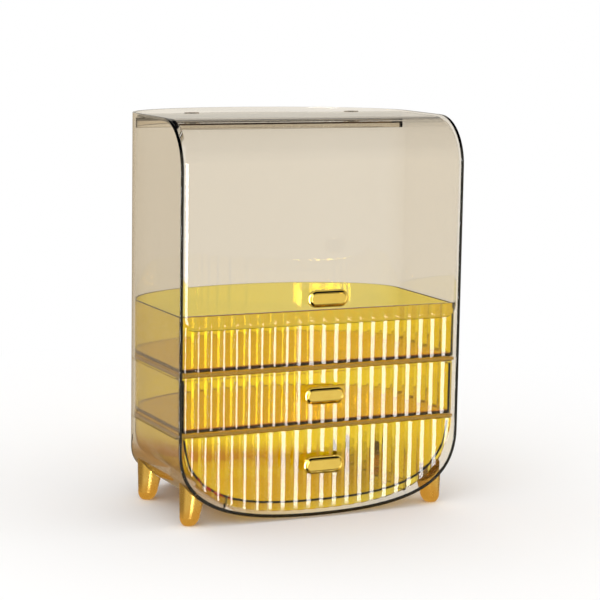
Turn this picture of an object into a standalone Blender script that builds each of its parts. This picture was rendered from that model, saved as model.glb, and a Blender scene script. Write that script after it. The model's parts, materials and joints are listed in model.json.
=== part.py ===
"""A clear cosmetic box with a flip cover, an open tray and two drawers, on four plated feet.

The casing is one smoky moulding with a half-oval back and an arched bottom. X runs to the
right, Y runs from the front edge to the back and Z runs up. All sizes are in metres.
"""

import math

import bmesh
import bpy
from mathutils import Matrix, Vector

# Casing
WIDTH = 0.300
SIDE_DEPTH = 0.121
BACK_BOW = 0.084
HEIGHT = 0.390
BELLY_CLEARANCE = 0.0023
WALL = 0.0032
CORNER_TOP = 0.078
CORNER_SHARES = (0.60, 0.82)
TOP_RADIUS = 0.048
LEDGE_REACH = 0.002
LEDGE_HEIGHT = 0.002
LEDGE_SETBACK = 0.003

# Runners on the casing's floor
RUNNER_X = 0.098
RUNNER_WIDTH = 0.0024
RUNNER_REACH_SHARE = 0.35

# Shelves
LOWER_SHELF_TOP = 0.0925
UPPER_SHELF_TOP = 0.1506
SHELF_THICKNESS = 0.0036

# Ribbed fronts and the tubs behind them
FRONT_RECESS = 0.0042
RIB_PITCH = 0.0133
RIB_DEPTH = 0.0016
RIB_SHARES = ((0.06, 1.0), (0.28, 0.0), (0.72, 0.0), (0.94, 1.0))
PANEL_THICKNESS = 0.0022
PANEL_SIDE_GAP = 0.0013
PANEL_BELLY_GAP = 0.0025
PANEL_SHARES = (0.50, 0.92)
PANEL_LIFT = 0.0004
PANEL_HEAD_GAP = 0.0005
TUB_WALL = 0.0022
TUB_FLOOR = 0.0024
TUB_SIDE_GAP = 0.0008
TUB_BACK_GAP = 0.0010
TUB_HEAD_GAP = 0.0006
TRAY_HEIGHT = 0.0545
TRAY_STEP = 0.0004
LOWER_TUB_RISE = 0.0132
LOWER_TUB_CORNER_TOP = 0.096
LOWER_TUB_SHARES = (0.55, 0.92)

# Rear top cap
CAP_DROP = 0.005
CAP_THICKNESS = 0.0026
CAP_SKIRT = 0.010
CAP_SKIRT_WALL = 0.0024
CAP_FRONT = 0.1262

# Flip cover
COVER_THICKNESS = 0.0025
COVER_SIDE_GAP = 0.0006
COVER_FACE_INSET = 0.0005
COVER_TOP_INSET = 0.0012
COVER_LAP = 0.0143
COVER_CORNER_RADIUS = 0.013
COVER_REAR_RADIUS = 0.005
COVER_BEVEL = 0.0042
COVER_BEVEL_DEPTH = 0.0017

# Hinges of the cover
HINGE_X = 0.088
HINGE_SETBACK = 0.0023
HINGE_RADIUS = 0.0021
HINGE_EAR_WIDTH = 0.004
HINGE_KNUCKLE_WIDTH = 0.006
HINGE_ARM_OVERLAP = 0.004
HINGE_ARM_INSET = 0.0003
PIN_RADIUS = 0.0008

# Handles
HANDLE_LENGTH = 0.043
HANDLE_HEIGHT = 0.017
HANDLE_REACH = 0.011
HANDLE_PLATE = 0.0042
HANDLE_EDGE = 0.0007
HANDLE_BEVEL = 0.0030
HANDLE_BEVEL_DEPTH = 0.0016
HANDLE_CREST = 0.0008
HANDLE_RECESS = 0.0007
HANDLE_STEM_LENGTH = 0.032
HANDLE_STEM_HEIGHT = 0.010
HANDLE_FLARE = 0.0020
COVER_HANDLE_RISE = 0.0270
MIDDLE_HANDLE_RISE = 0.0030
LOWER_HANDLE_Z = 0.0541
SCREW_SPACING = 0.018
SCREW_RADIUS = 0.0013
SCREW_HEAD_RADIUS = 0.0027
SCREW_HEAD_HEIGHT = 0.0018
SCREW_DOME = 0.0006
SCREW_BITE = 0.0060

# Feet
FOOT_INSET_X = 0.018
FOOT_INSET_Y = 0.0189
FOOT_SPACING_Y = 0.1131
FOOT_LEAN = 0.125
FOOT_TOP_RADIUS = 0.0148
FOOT_ROUND_RADIUS = 0.0099
FOOT_ROUND_HEIGHT = 0.0105
FOOT_REST_RADIUS = 0.0030
FOOT_TAPER_HEIGHT = 0.045
PEG_RADIUS = 0.003
PEG_ROOT = 0.008
PEG_STANDOFF = 0.002

# Clearance between resting pieces, and how far cutters run past what they cut
GAP = 0.0003
OVERRUN = 0.002

# Facets, and the angle from which an edge between them is shaded sharp
SHARP_ANGLE = math.radians(35)
ARCH_STEPS = 11
BACK_STEPS = 18
TOP_STEPS = 8
COVER_STEPS = 12
CORNER_STEPS = 6
PILL_STEPS = 9
ROUND_STEPS = 20
FOOT_STEPS = 24
TIP_STEPS = 5

# Worked-out sizes
HALF_WIDTH = WIDTH / 2
DEPTH = SIDE_DEPTH + BACK_BOW
UPPER_SHELF_BASE = UPPER_SHELF_TOP - SHELF_THICKNESS
LOWER_SHELF_BASE = LOWER_SHELF_TOP - SHELF_THICKNESS
PANEL_FACE = FRONT_RECESS + RIB_DEPTH
PANEL_BACK = PANEL_FACE + PANEL_THICKNESS
TUB_FRONT = PANEL_FACE + PANEL_THICKNESS / 2
CAVITY_FRONT = PANEL_BACK + GAP
TRAY_BASE = UPPER_SHELF_TOP + GAP
TRAY_TOP = TRAY_BASE + TRAY_HEIGHT
MIDDLE_BASE = LOWER_SHELF_TOP + GAP
MIDDLE_PANEL_TOP = UPPER_SHELF_BASE - PANEL_HEAD_GAP
MIDDLE_TUB_TOP = UPPER_SHELF_BASE - GAP - LEDGE_HEIGHT - TUB_HEAD_GAP
LOWER_PANEL_TOP = LOWER_SHELF_BASE - PANEL_HEAD_GAP
LOWER_TUB_TOP = LOWER_SHELF_BASE - GAP - LEDGE_HEIGHT - TUB_HEAD_GAP
PANEL_INSET = WALL + PANEL_SIDE_GAP
TRAY_INSET = WALL + TUB_SIDE_GAP
DRAWER_INSET = WALL + LEDGE_REACH + TUB_SIDE_GAP
CAP_TOP = HEIGHT - CAP_DROP
HINGE_Y = CAP_FRONT + HINGE_SETBACK
HINGE_Z = CAP_TOP + GAP + HINGE_RADIUS
COVER_HALF_WIDTH = HALF_WIDTH - WALL - COVER_SIDE_GAP
COVER_TOP = HEIGHT - COVER_TOP_INSET
COVER_BOTTOM = TRAY_TOP - COVER_LAP
COVER_REAR = HINGE_Y - HINGE_RADIUS - 3 * GAP
COVER_HANDLE_Z = COVER_BOTTOM + COVER_HANDLE_RISE
MIDDLE_HANDLE_Z = (MIDDLE_BASE + MIDDLE_PANEL_TOP) / 2 + MIDDLE_HANDLE_RISE
HANDLE_FRONT = COVER_FACE_INSET - GAP - HANDLE_REACH
FOOT_X = HALF_WIDTH - FOOT_INSET_X
FRONT_Y = -(DEPTH + HANDLE_FRONT) / 2


class Arch:
    """A front outline: straight sides, rounded lower corners and an arched bottom."""

    def __init__(self, half_width, belly, corner_top, shares):
        self.half_width = half_width
        corner = corner_top - (corner_top - belly) * shares[1]
        self.controls = [
            Vector((0, belly)),
            Vector((half_width * shares[0], belly)),
            Vector((half_width, corner)),
            Vector((half_width, corner_top)),
        ]

    def at(self, t):
        """The point at a share t of the curve, from the belly to the side."""
        a, b, c, d = self.controls
        s = 1 - t
        return s**3 * a + 3 * s * s * t * b + 3 * s * t * t * c + t**3 * d

    def share_at(self, value, index):
        """The share t at which x (index 0) or z (index 1) reaches a value."""
        low, high = 0.0, 1.0
        for _ in range(50):
            middle = (low + high) / 2
            if self.at(middle)[index] < value:
                low = middle
            else:
                high = middle
        return (low + high) / 2

    def z_at(self, x):
        return self.at(self.share_at(abs(x), 0)).y

    def curve(self, top):
        """The right half of the outline as (x, z) points, from the belly up to the given top."""
        last = self.share_at(top, 1)
        points = [self.at(last * i / ARCH_STEPS) for i in range(ARCH_STEPS + 1)]
        if top > self.controls[3].y:
            points.append(Vector((self.half_width, top)))
        return points

    def polygon(self, top):
        """The closed outline, cut off level at the given top."""
        right = self.curve(top)
        left = [Vector((-p.x, p.y)) for p in reversed(right[1:])]
        return left + right


def casing_arch(inset):
    """The casing's outline, drawn in by an inset."""
    return Arch(HALF_WIDTH - inset, BELLY_CLEARANCE + inset, CORNER_TOP, CORNER_SHARES)


def lower_tub_arch(inset):
    """The outline of the lower drawer's tub, drawn in by an inset."""
    belly = BELLY_CLEARANCE + LOWER_TUB_RISE + inset
    half_width = HALF_WIDTH - DRAWER_INSET - inset
    return Arch(half_width, belly, LOWER_TUB_CORNER_TOP, LOWER_TUB_SHARES)


def lower_panel_arch():
    """The outline of the lower drawer's front, which follows the casing's opening."""
    belly = BELLY_CLEARANCE + WALL + PANEL_BELLY_GAP
    return Arch(HALF_WIDTH - PANEL_INSET, belly, LOWER_TUB_CORNER_TOP, PANEL_SHARES)


def plan_stations(side_inset, back_inset, front):
    """(half width, y) pairs from the front of the D-shaped plan to its rearmost point."""
    across = HALF_WIDTH - side_inset
    bow = BACK_BOW - back_inset
    start = math.asin(max(front - SIDE_DEPTH, 0) / bow)
    stations = [(across, front)] if front < SIDE_DEPTH else []
    for i in range(BACK_STEPS + 1):
        angle = start + (math.pi / 2 - start) * i / BACK_STEPS
        stations.append((across * math.cos(angle), SIDE_DEPTH + bow * math.sin(angle)))
    stations[-1] = (0, SIDE_DEPTH + bow)
    return stations


def plan_path(side_inset, back_inset, front):
    """The D-shaped plan as an open path, from the left front round the back to the right."""
    stations = plan_stations(side_inset, back_inset, front)
    left = [Vector((-w, y)) for w, y in stations]
    right = [Vector((w, y)) for w, y in reversed(stations[:-1])]
    return left + right


def finish_mesh(name, bm):
    """Turns a bmesh into an object whose faces point outward, shaded smooth where they are round."""
    bmesh.ops.remove_doubles(bm, verts=bm.verts, dist=GAP / 100)
    bmesh.ops.dissolve_degenerate(bm, edges=bm.edges, dist=GAP / 100)
    bmesh.ops.recalc_face_normals(bm, faces=bm.faces)
    mesh = bpy.data.meshes.new(name)
    bm.to_mesh(mesh)
    bm.free()
    mesh.shade_smooth()
    mesh.set_sharp_from_angle(angle=SHARP_ANGLE)
    thing = bpy.data.objects.new(name, mesh)
    bpy.context.scene.collection.objects.link(thing)
    return thing


def loft(name, rings):
    """A closed solid through rings of points, with a flat cap on each end."""
    bm = bmesh.new()
    rows = [[bm.verts.new(p) for p in ring] for ring in rings]
    count = len(rows[0])
    for a, b in zip(rows, rows[1:]):
        for i in range(count):
            j = (i + 1) % count
            bm.faces.new((a[i], a[j], b[j], b[i]))
    bm.faces.new(rows[0])
    bm.faces.new(list(reversed(rows[-1])))
    return finish_mesh(name, bm)


def prism(name, outline, axis, low, high):
    """A 2D outline pushed along an axis: X takes (y, z), Y takes (x, z), Z takes (x, y)."""
    place = {
        "X": lambda p, h: (h, p[0], p[1]),
        "Y": lambda p, h: (p[0], h, p[1]),
        "Z": lambda p, h: (p[0], p[1], h),
    }[axis]
    return loft(name, [[place(p, h) for p in outline] for h in (low, high)])


def clip(curve, i, limit):
    """Point i of a curve of (x, z) points, or where the curve passes the limit, if that is sooner."""
    if curve[i].x <= limit:
        return curve[i]
    for a, b in zip(curve, curve[1:]):
        if b.x > limit:
            return a.lerp(b, (limit - a.x) / (b.x - a.x))
    return curve[-1]


def arched_block(name, arch, side_inset, back_inset, front, tops):
    """A solid with the D-shaped plan and an arched bottom.

    tops lists (y, z) of the upper edge along the straight side, front first. Behind the
    last of them the upper edge stays level.
    """
    stations = [(HALF_WIDTH - side_inset, y, z) for y, z in tops]
    level = tops[-1][1]
    for w, y in plan_stations(side_inset, back_inset, front):
        if y > tops[-1][0]:
            stations.append((w, y, level))
    curve = arch.curve(level)
    bm = bmesh.new()
    rows = []
    for w, y, top in stations:
        right = []
        for i in range(len(curve) - 1):
            x, z = clip(curve, i, w)
            right.append((x, y, z))
        right.append((min(w, curve[-1].x), y, top))
        left = [(-x, y, z) for x, y, z in reversed(right[1:])]
        rows.append([bm.verts.new(p) for p in left + right])
    for a, b in zip(rows, rows[1:]):
        for i in range(len(a)):
            j = (i + 1) % len(a)
            bm.faces.new((a[i], a[j], b[j], b[i]))
    bm.faces.new(rows[0])
    bmesh.ops.remove_doubles(bm, verts=bm.verts, dist=GAP / 100)
    return finish_mesh(name, bm)


def combine(thing, other, operation):
    """Joins, cuts or trims one solid with another, which stays as a hidden helper."""
    other.hide_render = True
    other.display_type = "WIRE"
    step = thing.modifiers.new(other.name, "BOOLEAN")
    step.operation = operation
    step.object = other
    step.solver = "EXACT"


def circle(radius, steps, turn=0.0):
    return [
        Vector((radius * math.cos(turn + 2 * math.pi * i / steps),
                radius * math.sin(turn + 2 * math.pi * i / steps)))
        for i in range(steps)
    ]


def rod(name, axis, centre, radius, low, high, steps=ROUND_STEPS):
    """A round bar along an axis. centre is given in the two other directions."""
    outline = [p + Vector(centre) for p in circle(radius, steps, math.pi / steps)]
    return prism(name, outline, axis, low, high)


def fluted_outline(half_width):
    """The plan of a ribbed front: shallow trapezoid ribs in front, flat behind."""
    count = 2 * round(half_width / RIB_PITCH)
    pitch = 2 * half_width / count
    front = [Vector((-half_width, PANEL_FACE))]
    for i in range(count):
        for along, depth in RIB_SHARES:
            x = -half_width + pitch * (i + along)
            front.append(Vector((x, FRONT_RECESS + RIB_DEPTH * depth)))
    front.append(Vector((half_width, PANEL_FACE)))
    return front + [Vector((half_width, PANEL_BACK)), Vector((-half_width, PANEL_BACK))]


def screw_xs():
    return (-SCREW_SPACING / 2, SCREW_SPACING / 2)


def drill_for_screws(thing, name, z, low, high):
    """Two screw holes through a front, along Y."""
    for i, x in enumerate(screw_xs()):
        hole = rod(f"{name}_{i}", "Y", (x, z), SCREW_RADIUS + GAP, low, high)
        combine(thing, hole, "DIFFERENCE")


# Pieces of the casing

def make_casing():
    arc = [math.pi / 2 * i / TOP_STEPS for i in range(TOP_STEPS + 1)]
    tops = [
        (TOP_RADIUS * (1 - math.cos(a)), HEIGHT - TOP_RADIUS * (1 - math.sin(a)))
        for a in arc
    ]
    casing = arched_block("casing_shell", casing_arch(0), 0, 0, 0, tops)
    above = [(-OVERRUN, HEIGHT + OVERRUN)]
    hollow = arched_block("casing_hollow", casing_arch(WALL), WALL, WALL, -OVERRUN, above)
    combine(casing, hollow, "DIFFERENCE")
    for name, base in (("lower", LOWER_SHELF_BASE), ("upper", UPPER_SHELF_BASE)):
        high = base - GAP
        front = PANEL_BACK + LEDGE_SETBACK
        reach = WALL + LEDGE_REACH
        outer = plan_path(WALL / 2, WALL / 2, front)
        inner = plan_path(reach, reach, front)
        band = outer + list(reversed(inner))
        ledge = prism(f"{name}_ledge", band, "Z", high - LEDGE_HEIGHT, high)
        combine(casing, ledge, "UNION")
    for side in (-1, 1):
        casing_floor = casing_arch(0).z_at(RUNNER_X) + WALL / 2
        under_tub = lower_tub_arch(0).z_at(RUNNER_X - RUNNER_WIDTH / 2) - GAP
        x = side * RUNNER_X
        outline = [
            (x - RUNNER_WIDTH / 2, casing_floor),
            (x + RUNNER_WIDTH / 2, casing_floor),
            (x + RUNNER_WIDTH / 2, under_tub),
            (x - RUNNER_WIDTH / 2, under_tub),
        ]
        end = SIDE_DEPTH + BACK_BOW * RUNNER_REACH_SHARE
        runner = prism(f"runner_{side}", outline, "Y", PANEL_BACK + LEDGE_SETBACK, end)
        combine(casing, runner, "UNION")
    for side, y, name in foot_places():
        socket = foot_rod(f"socket_{name}", side, y, PEG_RADIUS + GAP, 0, CORNER_TOP)
        combine(casing, socket, "DIFFERENCE")
    return casing


def make_shelf(name, base):
    inset = WALL + GAP
    return prism(name, plan_path(inset, inset, FRONT_RECESS), "Z", base, base + SHELF_THICKNESS)


def make_cap():
    inset = WALL + GAP
    outline = plan_path(inset, inset, CAP_FRONT)
    cap = prism("rear_top_cap", outline, "Z", CAP_TOP - CAP_SKIRT, CAP_TOP)
    inner = inset + CAP_SKIRT_WALL
    hollow_plan = plan_path(inner, inner, CAP_FRONT + CAP_SKIRT_WALL)
    low = CAP_TOP - CAP_SKIRT - OVERRUN
    hollow = prism("cap_hollow", hollow_plan, "Z", low, CAP_TOP - CAP_THICKNESS)
    combine(cap, hollow, "DIFFERENCE")
    for side in (-1, 1):
        for place in (-1, 1):
            middle = side * HINGE_X + place * ear_offset()
            low, high = middle - HINGE_EAR_WIDTH / 2, middle + HINGE_EAR_WIDTH / 2
            arc = [
                Vector((HINGE_Y, HINGE_Z)) + HINGE_RADIUS * Vector((math.cos(a), math.sin(a)))
                for a in (math.pi * i / CORNER_STEPS for i in range(CORNER_STEPS + 1))
            ]
            root = CAP_TOP - CAP_THICKNESS / 2
            profile = arc + [
                Vector((HINGE_Y - HINGE_RADIUS, root)),
                Vector((HINGE_Y + HINGE_RADIUS, root)),
            ]
            ear = prism(f"ear_{side}_{place}", profile, "X", low, high)
            combine(cap, ear, "UNION")
        reach = hinge_half_length() + OVERRUN
        middle = side * HINGE_X
        bore = rod(f"cap_bore_{side}", "X", (HINGE_Y, HINGE_Z), PIN_RADIUS + GAP,
                   middle - reach, middle + reach, CORNER_STEPS * 2)
        combine(cap, bore, "DIFFERENCE")
    return cap


def ear_offset():
    """From a hinge's middle to the middle of one of its ears."""
    return HINGE_KNUCKLE_WIDTH / 2 + GAP + HINGE_EAR_WIDTH / 2


def hinge_half_length():
    return ear_offset() + HINGE_EAR_WIDTH / 2


def make_pin(name, side):
    middle = side * HINGE_X
    half = hinge_half_length()
    return rod(name, "X", (HINGE_Y, HINGE_Z), PIN_RADIUS, middle - half, middle + half,
               CORNER_STEPS * 2)


# Cover, tray and drawers

def cover_path():
    """(outer point, inner point, half width) from the rear edge down to the lower edge."""
    radius = TOP_RADIUS - COVER_FACE_INSET
    centre = Vector((COVER_FACE_INSET + radius, COVER_TOP - radius))
    down = Vector((0, -1))
    back = Vector((1, 0))
    path = []
    for i in range(CORNER_STEPS + 1):
        angle = math.pi / 2 * i / CORNER_STEPS
        ahead = COVER_REAR_RADIUS * (1 - math.cos(angle))
        width = COVER_HALF_WIDTH - COVER_REAR_RADIUS * (1 - math.sin(angle))
        path.append((Vector((COVER_REAR - ahead, COVER_TOP)), down, width))
    for i in range(COVER_STEPS + 1):
        angle = math.pi / 2 * i / COVER_STEPS
        out = Vector((-math.sin(angle), math.cos(angle)))
        path.append((centre + radius * out, -out, COVER_HALF_WIDTH))
    for i in range(CORNER_STEPS + 1):
        angle = math.pi / 2 * i / CORNER_STEPS
        rise = COVER_CORNER_RADIUS * (1 - math.sin(angle))
        width = COVER_HALF_WIDTH - COVER_CORNER_RADIUS * (1 - math.cos(angle))
        path.append((Vector((COVER_FACE_INSET, COVER_BOTTOM + rise)), back, width))
    return [(p, p + COVER_THICKNESS * inward, w) for p, inward, w in path]


def make_cover():
    rings = []
    for outer, inner, w in cover_path():
        edge = outer.lerp(inner, COVER_BEVEL_DEPTH / COVER_THICKNESS)
        flat = w - COVER_BEVEL
        rings.append([(-flat, *outer), (flat, *outer), (w, *edge), (w, *inner), (-w, *inner), (-w, *edge)])
    cover = loft("flip_cover", rings)
    for side in (-1, 1):
        middle = side * HINGE_X
        low = middle - HINGE_KNUCKLE_WIDTH / 2
        high = middle + HINGE_KNUCKLE_WIDTH / 2
        arc = [
            Vector((HINGE_Y, HINGE_Z)) + HINGE_RADIUS * Vector((math.sin(a), -math.cos(a)))
            for a in (math.pi * i / CORNER_STEPS for i in range(CORNER_STEPS + 1))
        ]
        arm_top = COVER_TOP - HINGE_ARM_INSET
        arm_low = COVER_TOP - COVER_THICKNESS + HINGE_ARM_INSET
        arm_end = COVER_REAR - HINGE_ARM_OVERLAP
        profile = arc + [
            Vector((HINGE_Y - HINGE_RADIUS / 2, arm_top)),
            Vector((arm_end, arm_top)),
            Vector((arm_end, arm_low)),
            Vector((HINGE_Y - HINGE_RADIUS, arm_low)),
        ]
        knuckle = prism(f"cover_knuckle_{side}", profile, "X", low, high)
        combine(cover, knuckle, "UNION")
        bore = rod(f"cover_bore_{side}", "X", (HINGE_Y, HINGE_Z), PIN_RADIUS + GAP,
                   low - OVERRUN, high + OVERRUN, CORNER_STEPS * 2)
        combine(cover, bore, "DIFFERENCE")
    back = COVER_FACE_INSET + COVER_THICKNESS + OVERRUN
    drill_for_screws(cover, "cover_screw_hole", COVER_HANDLE_Z, -OVERRUN, back)
    return cover


def make_flat_tub(name, panel_inset, inset, base, panel_top, tub_top):
    """A ribbed front with an open D-shaped tub behind it."""
    outline = fluted_outline(HALF_WIDTH - panel_inset)
    panel = prism(name, outline, "Z", base + PANEL_LIFT, panel_top)
    back_inset = inset + TUB_BACK_GAP
    tub_plan = plan_path(inset, back_inset, TUB_FRONT)
    combine(panel, prism(f"{name}_tub", tub_plan, "Z", base, tub_top), "UNION")
    hollow_plan = plan_path(inset + TUB_WALL, back_inset + TUB_WALL, CAVITY_FRONT)
    hollow = prism(f"{name}_hollow", hollow_plan, "Z", base + TUB_FLOOR, panel_top + OVERRUN)
    combine(panel, hollow, "DIFFERENCE")
    return panel


def make_tray():
    inset = TRAY_INSET + TRAY_STEP
    return make_flat_tub("top_tray", TRAY_INSET, inset, TRAY_BASE, TRAY_TOP, TRAY_TOP - TRAY_STEP)


def make_middle_drawer():
    drawer = make_flat_tub("middle_drawer", PANEL_INSET, DRAWER_INSET, MIDDLE_BASE,
                           MIDDLE_PANEL_TOP, MIDDLE_TUB_TOP)
    drill_for_screws(drawer, "middle_screw_hole", MIDDLE_HANDLE_Z, 0, CAVITY_FRONT + OVERRUN)
    return drawer


def make_lower_drawer():
    """The ribbed front is trimmed to the casing's rounded opening, so its ribs end in the arch."""
    outline = fluted_outline(HALF_WIDTH - PANEL_INSET + RIB_PITCH / 2)
    drawer = prism("lower_drawer", outline, "Z", 0, LOWER_PANEL_TOP)
    front_shape = lower_panel_arch().polygon(LOWER_PANEL_TOP + OVERRUN)
    trim = prism("lower_front_trim", front_shape, "Y", 0, PANEL_BACK + OVERRUN)
    combine(drawer, trim, "INTERSECT")
    back_inset = DRAWER_INSET + TUB_BACK_GAP
    tub = arched_block("lower_tub", lower_tub_arch(0), DRAWER_INSET, back_inset,
                       TUB_FRONT, [(TUB_FRONT, LOWER_TUB_TOP)])
    combine(drawer, tub, "UNION")
    side = DRAWER_INSET + TUB_WALL
    back = back_inset + TUB_WALL
    hollow = arched_block("lower_hollow", lower_tub_arch(TUB_WALL), side, back,
                          CAVITY_FRONT, [(CAVITY_FRONT, LOWER_TUB_TOP + OVERRUN)])
    combine(drawer, hollow, "DIFFERENCE")
    drill_for_screws(drawer, "lower_screw_hole", LOWER_HANDLE_Z, 0, CAVITY_FRONT + OVERRUN)
    return drawer


# Plated handles, their screws and the feet

def pill(length, height, z, y):
    """A pill-shaped ring of points in a plane of constant y."""
    radius = height / 2
    reach = length / 2 - radius
    points = []
    for side, start in ((1, -math.pi / 2), (-1, math.pi / 2)):
        for i in range(PILL_STEPS + 1):
            angle = start + math.pi * i / PILL_STEPS
            points.append((side * reach + radius * math.cos(angle), y, z + radius * math.sin(angle)))
    return points


def make_handle(name, seat, z):
    """seat is the y of the face that the handle is screwed to."""
    base = seat - GAP
    front = base - HANDLE_REACH
    plate_back = front + HANDLE_PLATE
    bevel_back = front + HANDLE_BEVEL_DEPTH
    stages = (
        (HANDLE_STEM_LENGTH, HANDLE_STEM_HEIGHT, base),
        (HANDLE_STEM_LENGTH, HANDLE_STEM_HEIGHT, plate_back + HANDLE_FLARE),
        (HANDLE_LENGTH - 2 * HANDLE_EDGE, HANDLE_HEIGHT - 2 * HANDLE_EDGE, plate_back),
        (HANDLE_LENGTH, HANDLE_HEIGHT, plate_back - HANDLE_EDGE),
        (HANDLE_LENGTH, HANDLE_HEIGHT, bevel_back),
        (HANDLE_LENGTH - 2 * HANDLE_BEVEL, HANDLE_HEIGHT - 2 * HANDLE_BEVEL, front),
        (HANDLE_LENGTH - 2 * HANDLE_BEVEL - 2 * HANDLE_CREST,
         HANDLE_HEIGHT - 2 * HANDLE_BEVEL - 2 * HANDLE_CREST, front + HANDLE_RECESS),
    )
    handle = loft(name, [pill(length, height, z, y) for length, height, y in stages])
    for i, x in enumerate(screw_xs()):
        hole = rod(f"{name}_hole_{i}", "Y", (x, z), SCREW_RADIUS + GAP,
                   base - SCREW_BITE - GAP, base + OVERRUN)
        combine(handle, hole, "DIFFERENCE")
    return handle


def make_screw(name, side, seat, inside, z):
    """A pan-head screw. inside is the y of the face that its head bears on."""
    tip = seat - GAP - SCREW_BITE
    under_head = inside + GAP
    top = under_head + SCREW_HEAD_HEIGHT
    stages = (
        (SCREW_RADIUS, tip),
        (SCREW_RADIUS, under_head),
        (SCREW_HEAD_RADIUS, under_head),
        (SCREW_HEAD_RADIUS, top - SCREW_DOME),
        (SCREW_HEAD_RADIUS - SCREW_DOME, top),
    )
    x = side * SCREW_SPACING / 2
    rings = [
        [(x + p.x, y, z + p.y) for p in circle(radius, CORNER_STEPS * 2)]
        for radius, y in stages
    ]
    return loft(name, rings)


def foot_places():
    """(side, y, name) of each foot."""
    return [
        (side, FOOT_INSET_Y + FOOT_SPACING_Y * row, f"foot_{row_name}_{side_name}")
        for row, row_name in ((0, "front"), (1, "rear"))
        for side, side_name in ((-1, "left"), (1, "right"))
    ]


def foot_centre(side, z):
    """A foot leans, so that it stands a little further out than it is fastened."""
    return side * (FOOT_X - FOOT_LEAN * z)


def foot_ring(side, y, z, radius, steps):
    x = foot_centre(side, z)
    return [(x + p.x, y + p.y, z) for p in circle(radius, steps)]


def foot_rod(name, side, y, radius, low, high):
    return loft(name, [foot_ring(side, y, z, radius, ROUND_STEPS) for z in (low, high)])


def make_foot(side, y, name):
    outer_x = FOOT_X + FOOT_TOP_RADIUS
    top = casing_arch(0).z_at(outer_x) + OVERRUN
    rings = []
    for i in range(TIP_STEPS + 1):
        angle = math.pi / 2 * i / TIP_STEPS
        radius = FOOT_REST_RADIUS + (FOOT_ROUND_RADIUS - FOOT_REST_RADIUS) * math.sin(angle)
        z = FOOT_ROUND_HEIGHT * (1 - math.cos(angle))
        rings.append(foot_ring(side, y, z, radius, FOOT_STEPS))
    slope = (FOOT_TOP_RADIUS - FOOT_ROUND_RADIUS) / (FOOT_TAPER_HEIGHT - FOOT_ROUND_HEIGHT)
    wide = FOOT_ROUND_RADIUS + slope * (top - FOOT_ROUND_HEIGHT)
    rings.append(foot_ring(side, y, top, wide, FOOT_STEPS))
    foot = loft(name, rings)
    under = casing_arch(-GAP).polygon(HEIGHT)
    saddle = prism(f"{name}_saddle", under, "Y", -OVERRUN, DEPTH + OVERRUN)
    combine(foot, saddle, "DIFFERENCE")
    seat = casing_arch(0).z_at(foot_centre(1, FOOT_TAPER_HEIGHT))
    low = seat - PEG_ROOT
    high = casing_arch(WALL).z_at(foot_centre(1, seat) + PEG_RADIUS) + PEG_STANDOFF
    peg = foot_rod(f"{name}_peg", side, y, PEG_RADIUS, low, high)
    combine(foot, peg, "UNION")
    return foot


# Finishes

def srgb(code):
    """A hex colour as the linear values that a shader takes."""
    parts = [int(code[i:i + 2], 16) / 255 for i in (0, 2, 4)]
    return [c / 12.92 if c <= 0.04045 else ((c + 0.055) / 1.055) ** 2.4 for c in parts]


FINISHES = {
    "smoky": ("CFC5B2", 0.06, 0.0, 0.35),
    "clear": ("DAD3C4", 0.05, 0.0, 0.25),
    "amber": ("E0A93C", 0.08, 0.0, 0.55),
    "gold": ("D9AE4E", 0.18, 1.0, 1.0),
    "steel": ("B9BBBD", 0.30, 1.0, 1.0),
}


def paint(thing, finish):
    colour, roughness, metallic, alpha = FINISHES[finish]
    material = bpy.data.materials.new(f"{thing.name}_{finish}")
    material.use_nodes = True
    shader = material.node_tree.nodes["Principled BSDF"]
    linear = srgb(colour)
    shader.inputs["Base Color"].default_value = (*linear, 1)
    shader.inputs["Roughness"].default_value = roughness
    shader.inputs["Metallic"].default_value = metallic
    shader.inputs["Alpha"].default_value = alpha
    material.diffuse_color = (*linear, alpha)
    thing.data.materials.clear()
    thing.data.materials.append(material)


def hang(thing, carrier, origin):
    """Moves a piece's own origin to a place and hangs it on the empty that stands there."""
    thing.data.transform(Matrix.Translation(-Vector(origin)))
    thing.parent = carrier


def empty(name, parent, origin):
    thing = bpy.data.objects.new(name, None)
    bpy.context.scene.collection.objects.link(thing)
    thing.parent = parent
    thing.location = origin
    return thing


def clear_scene():
    for thing in list(bpy.data.objects):
        bpy.data.objects.remove(thing)


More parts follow.
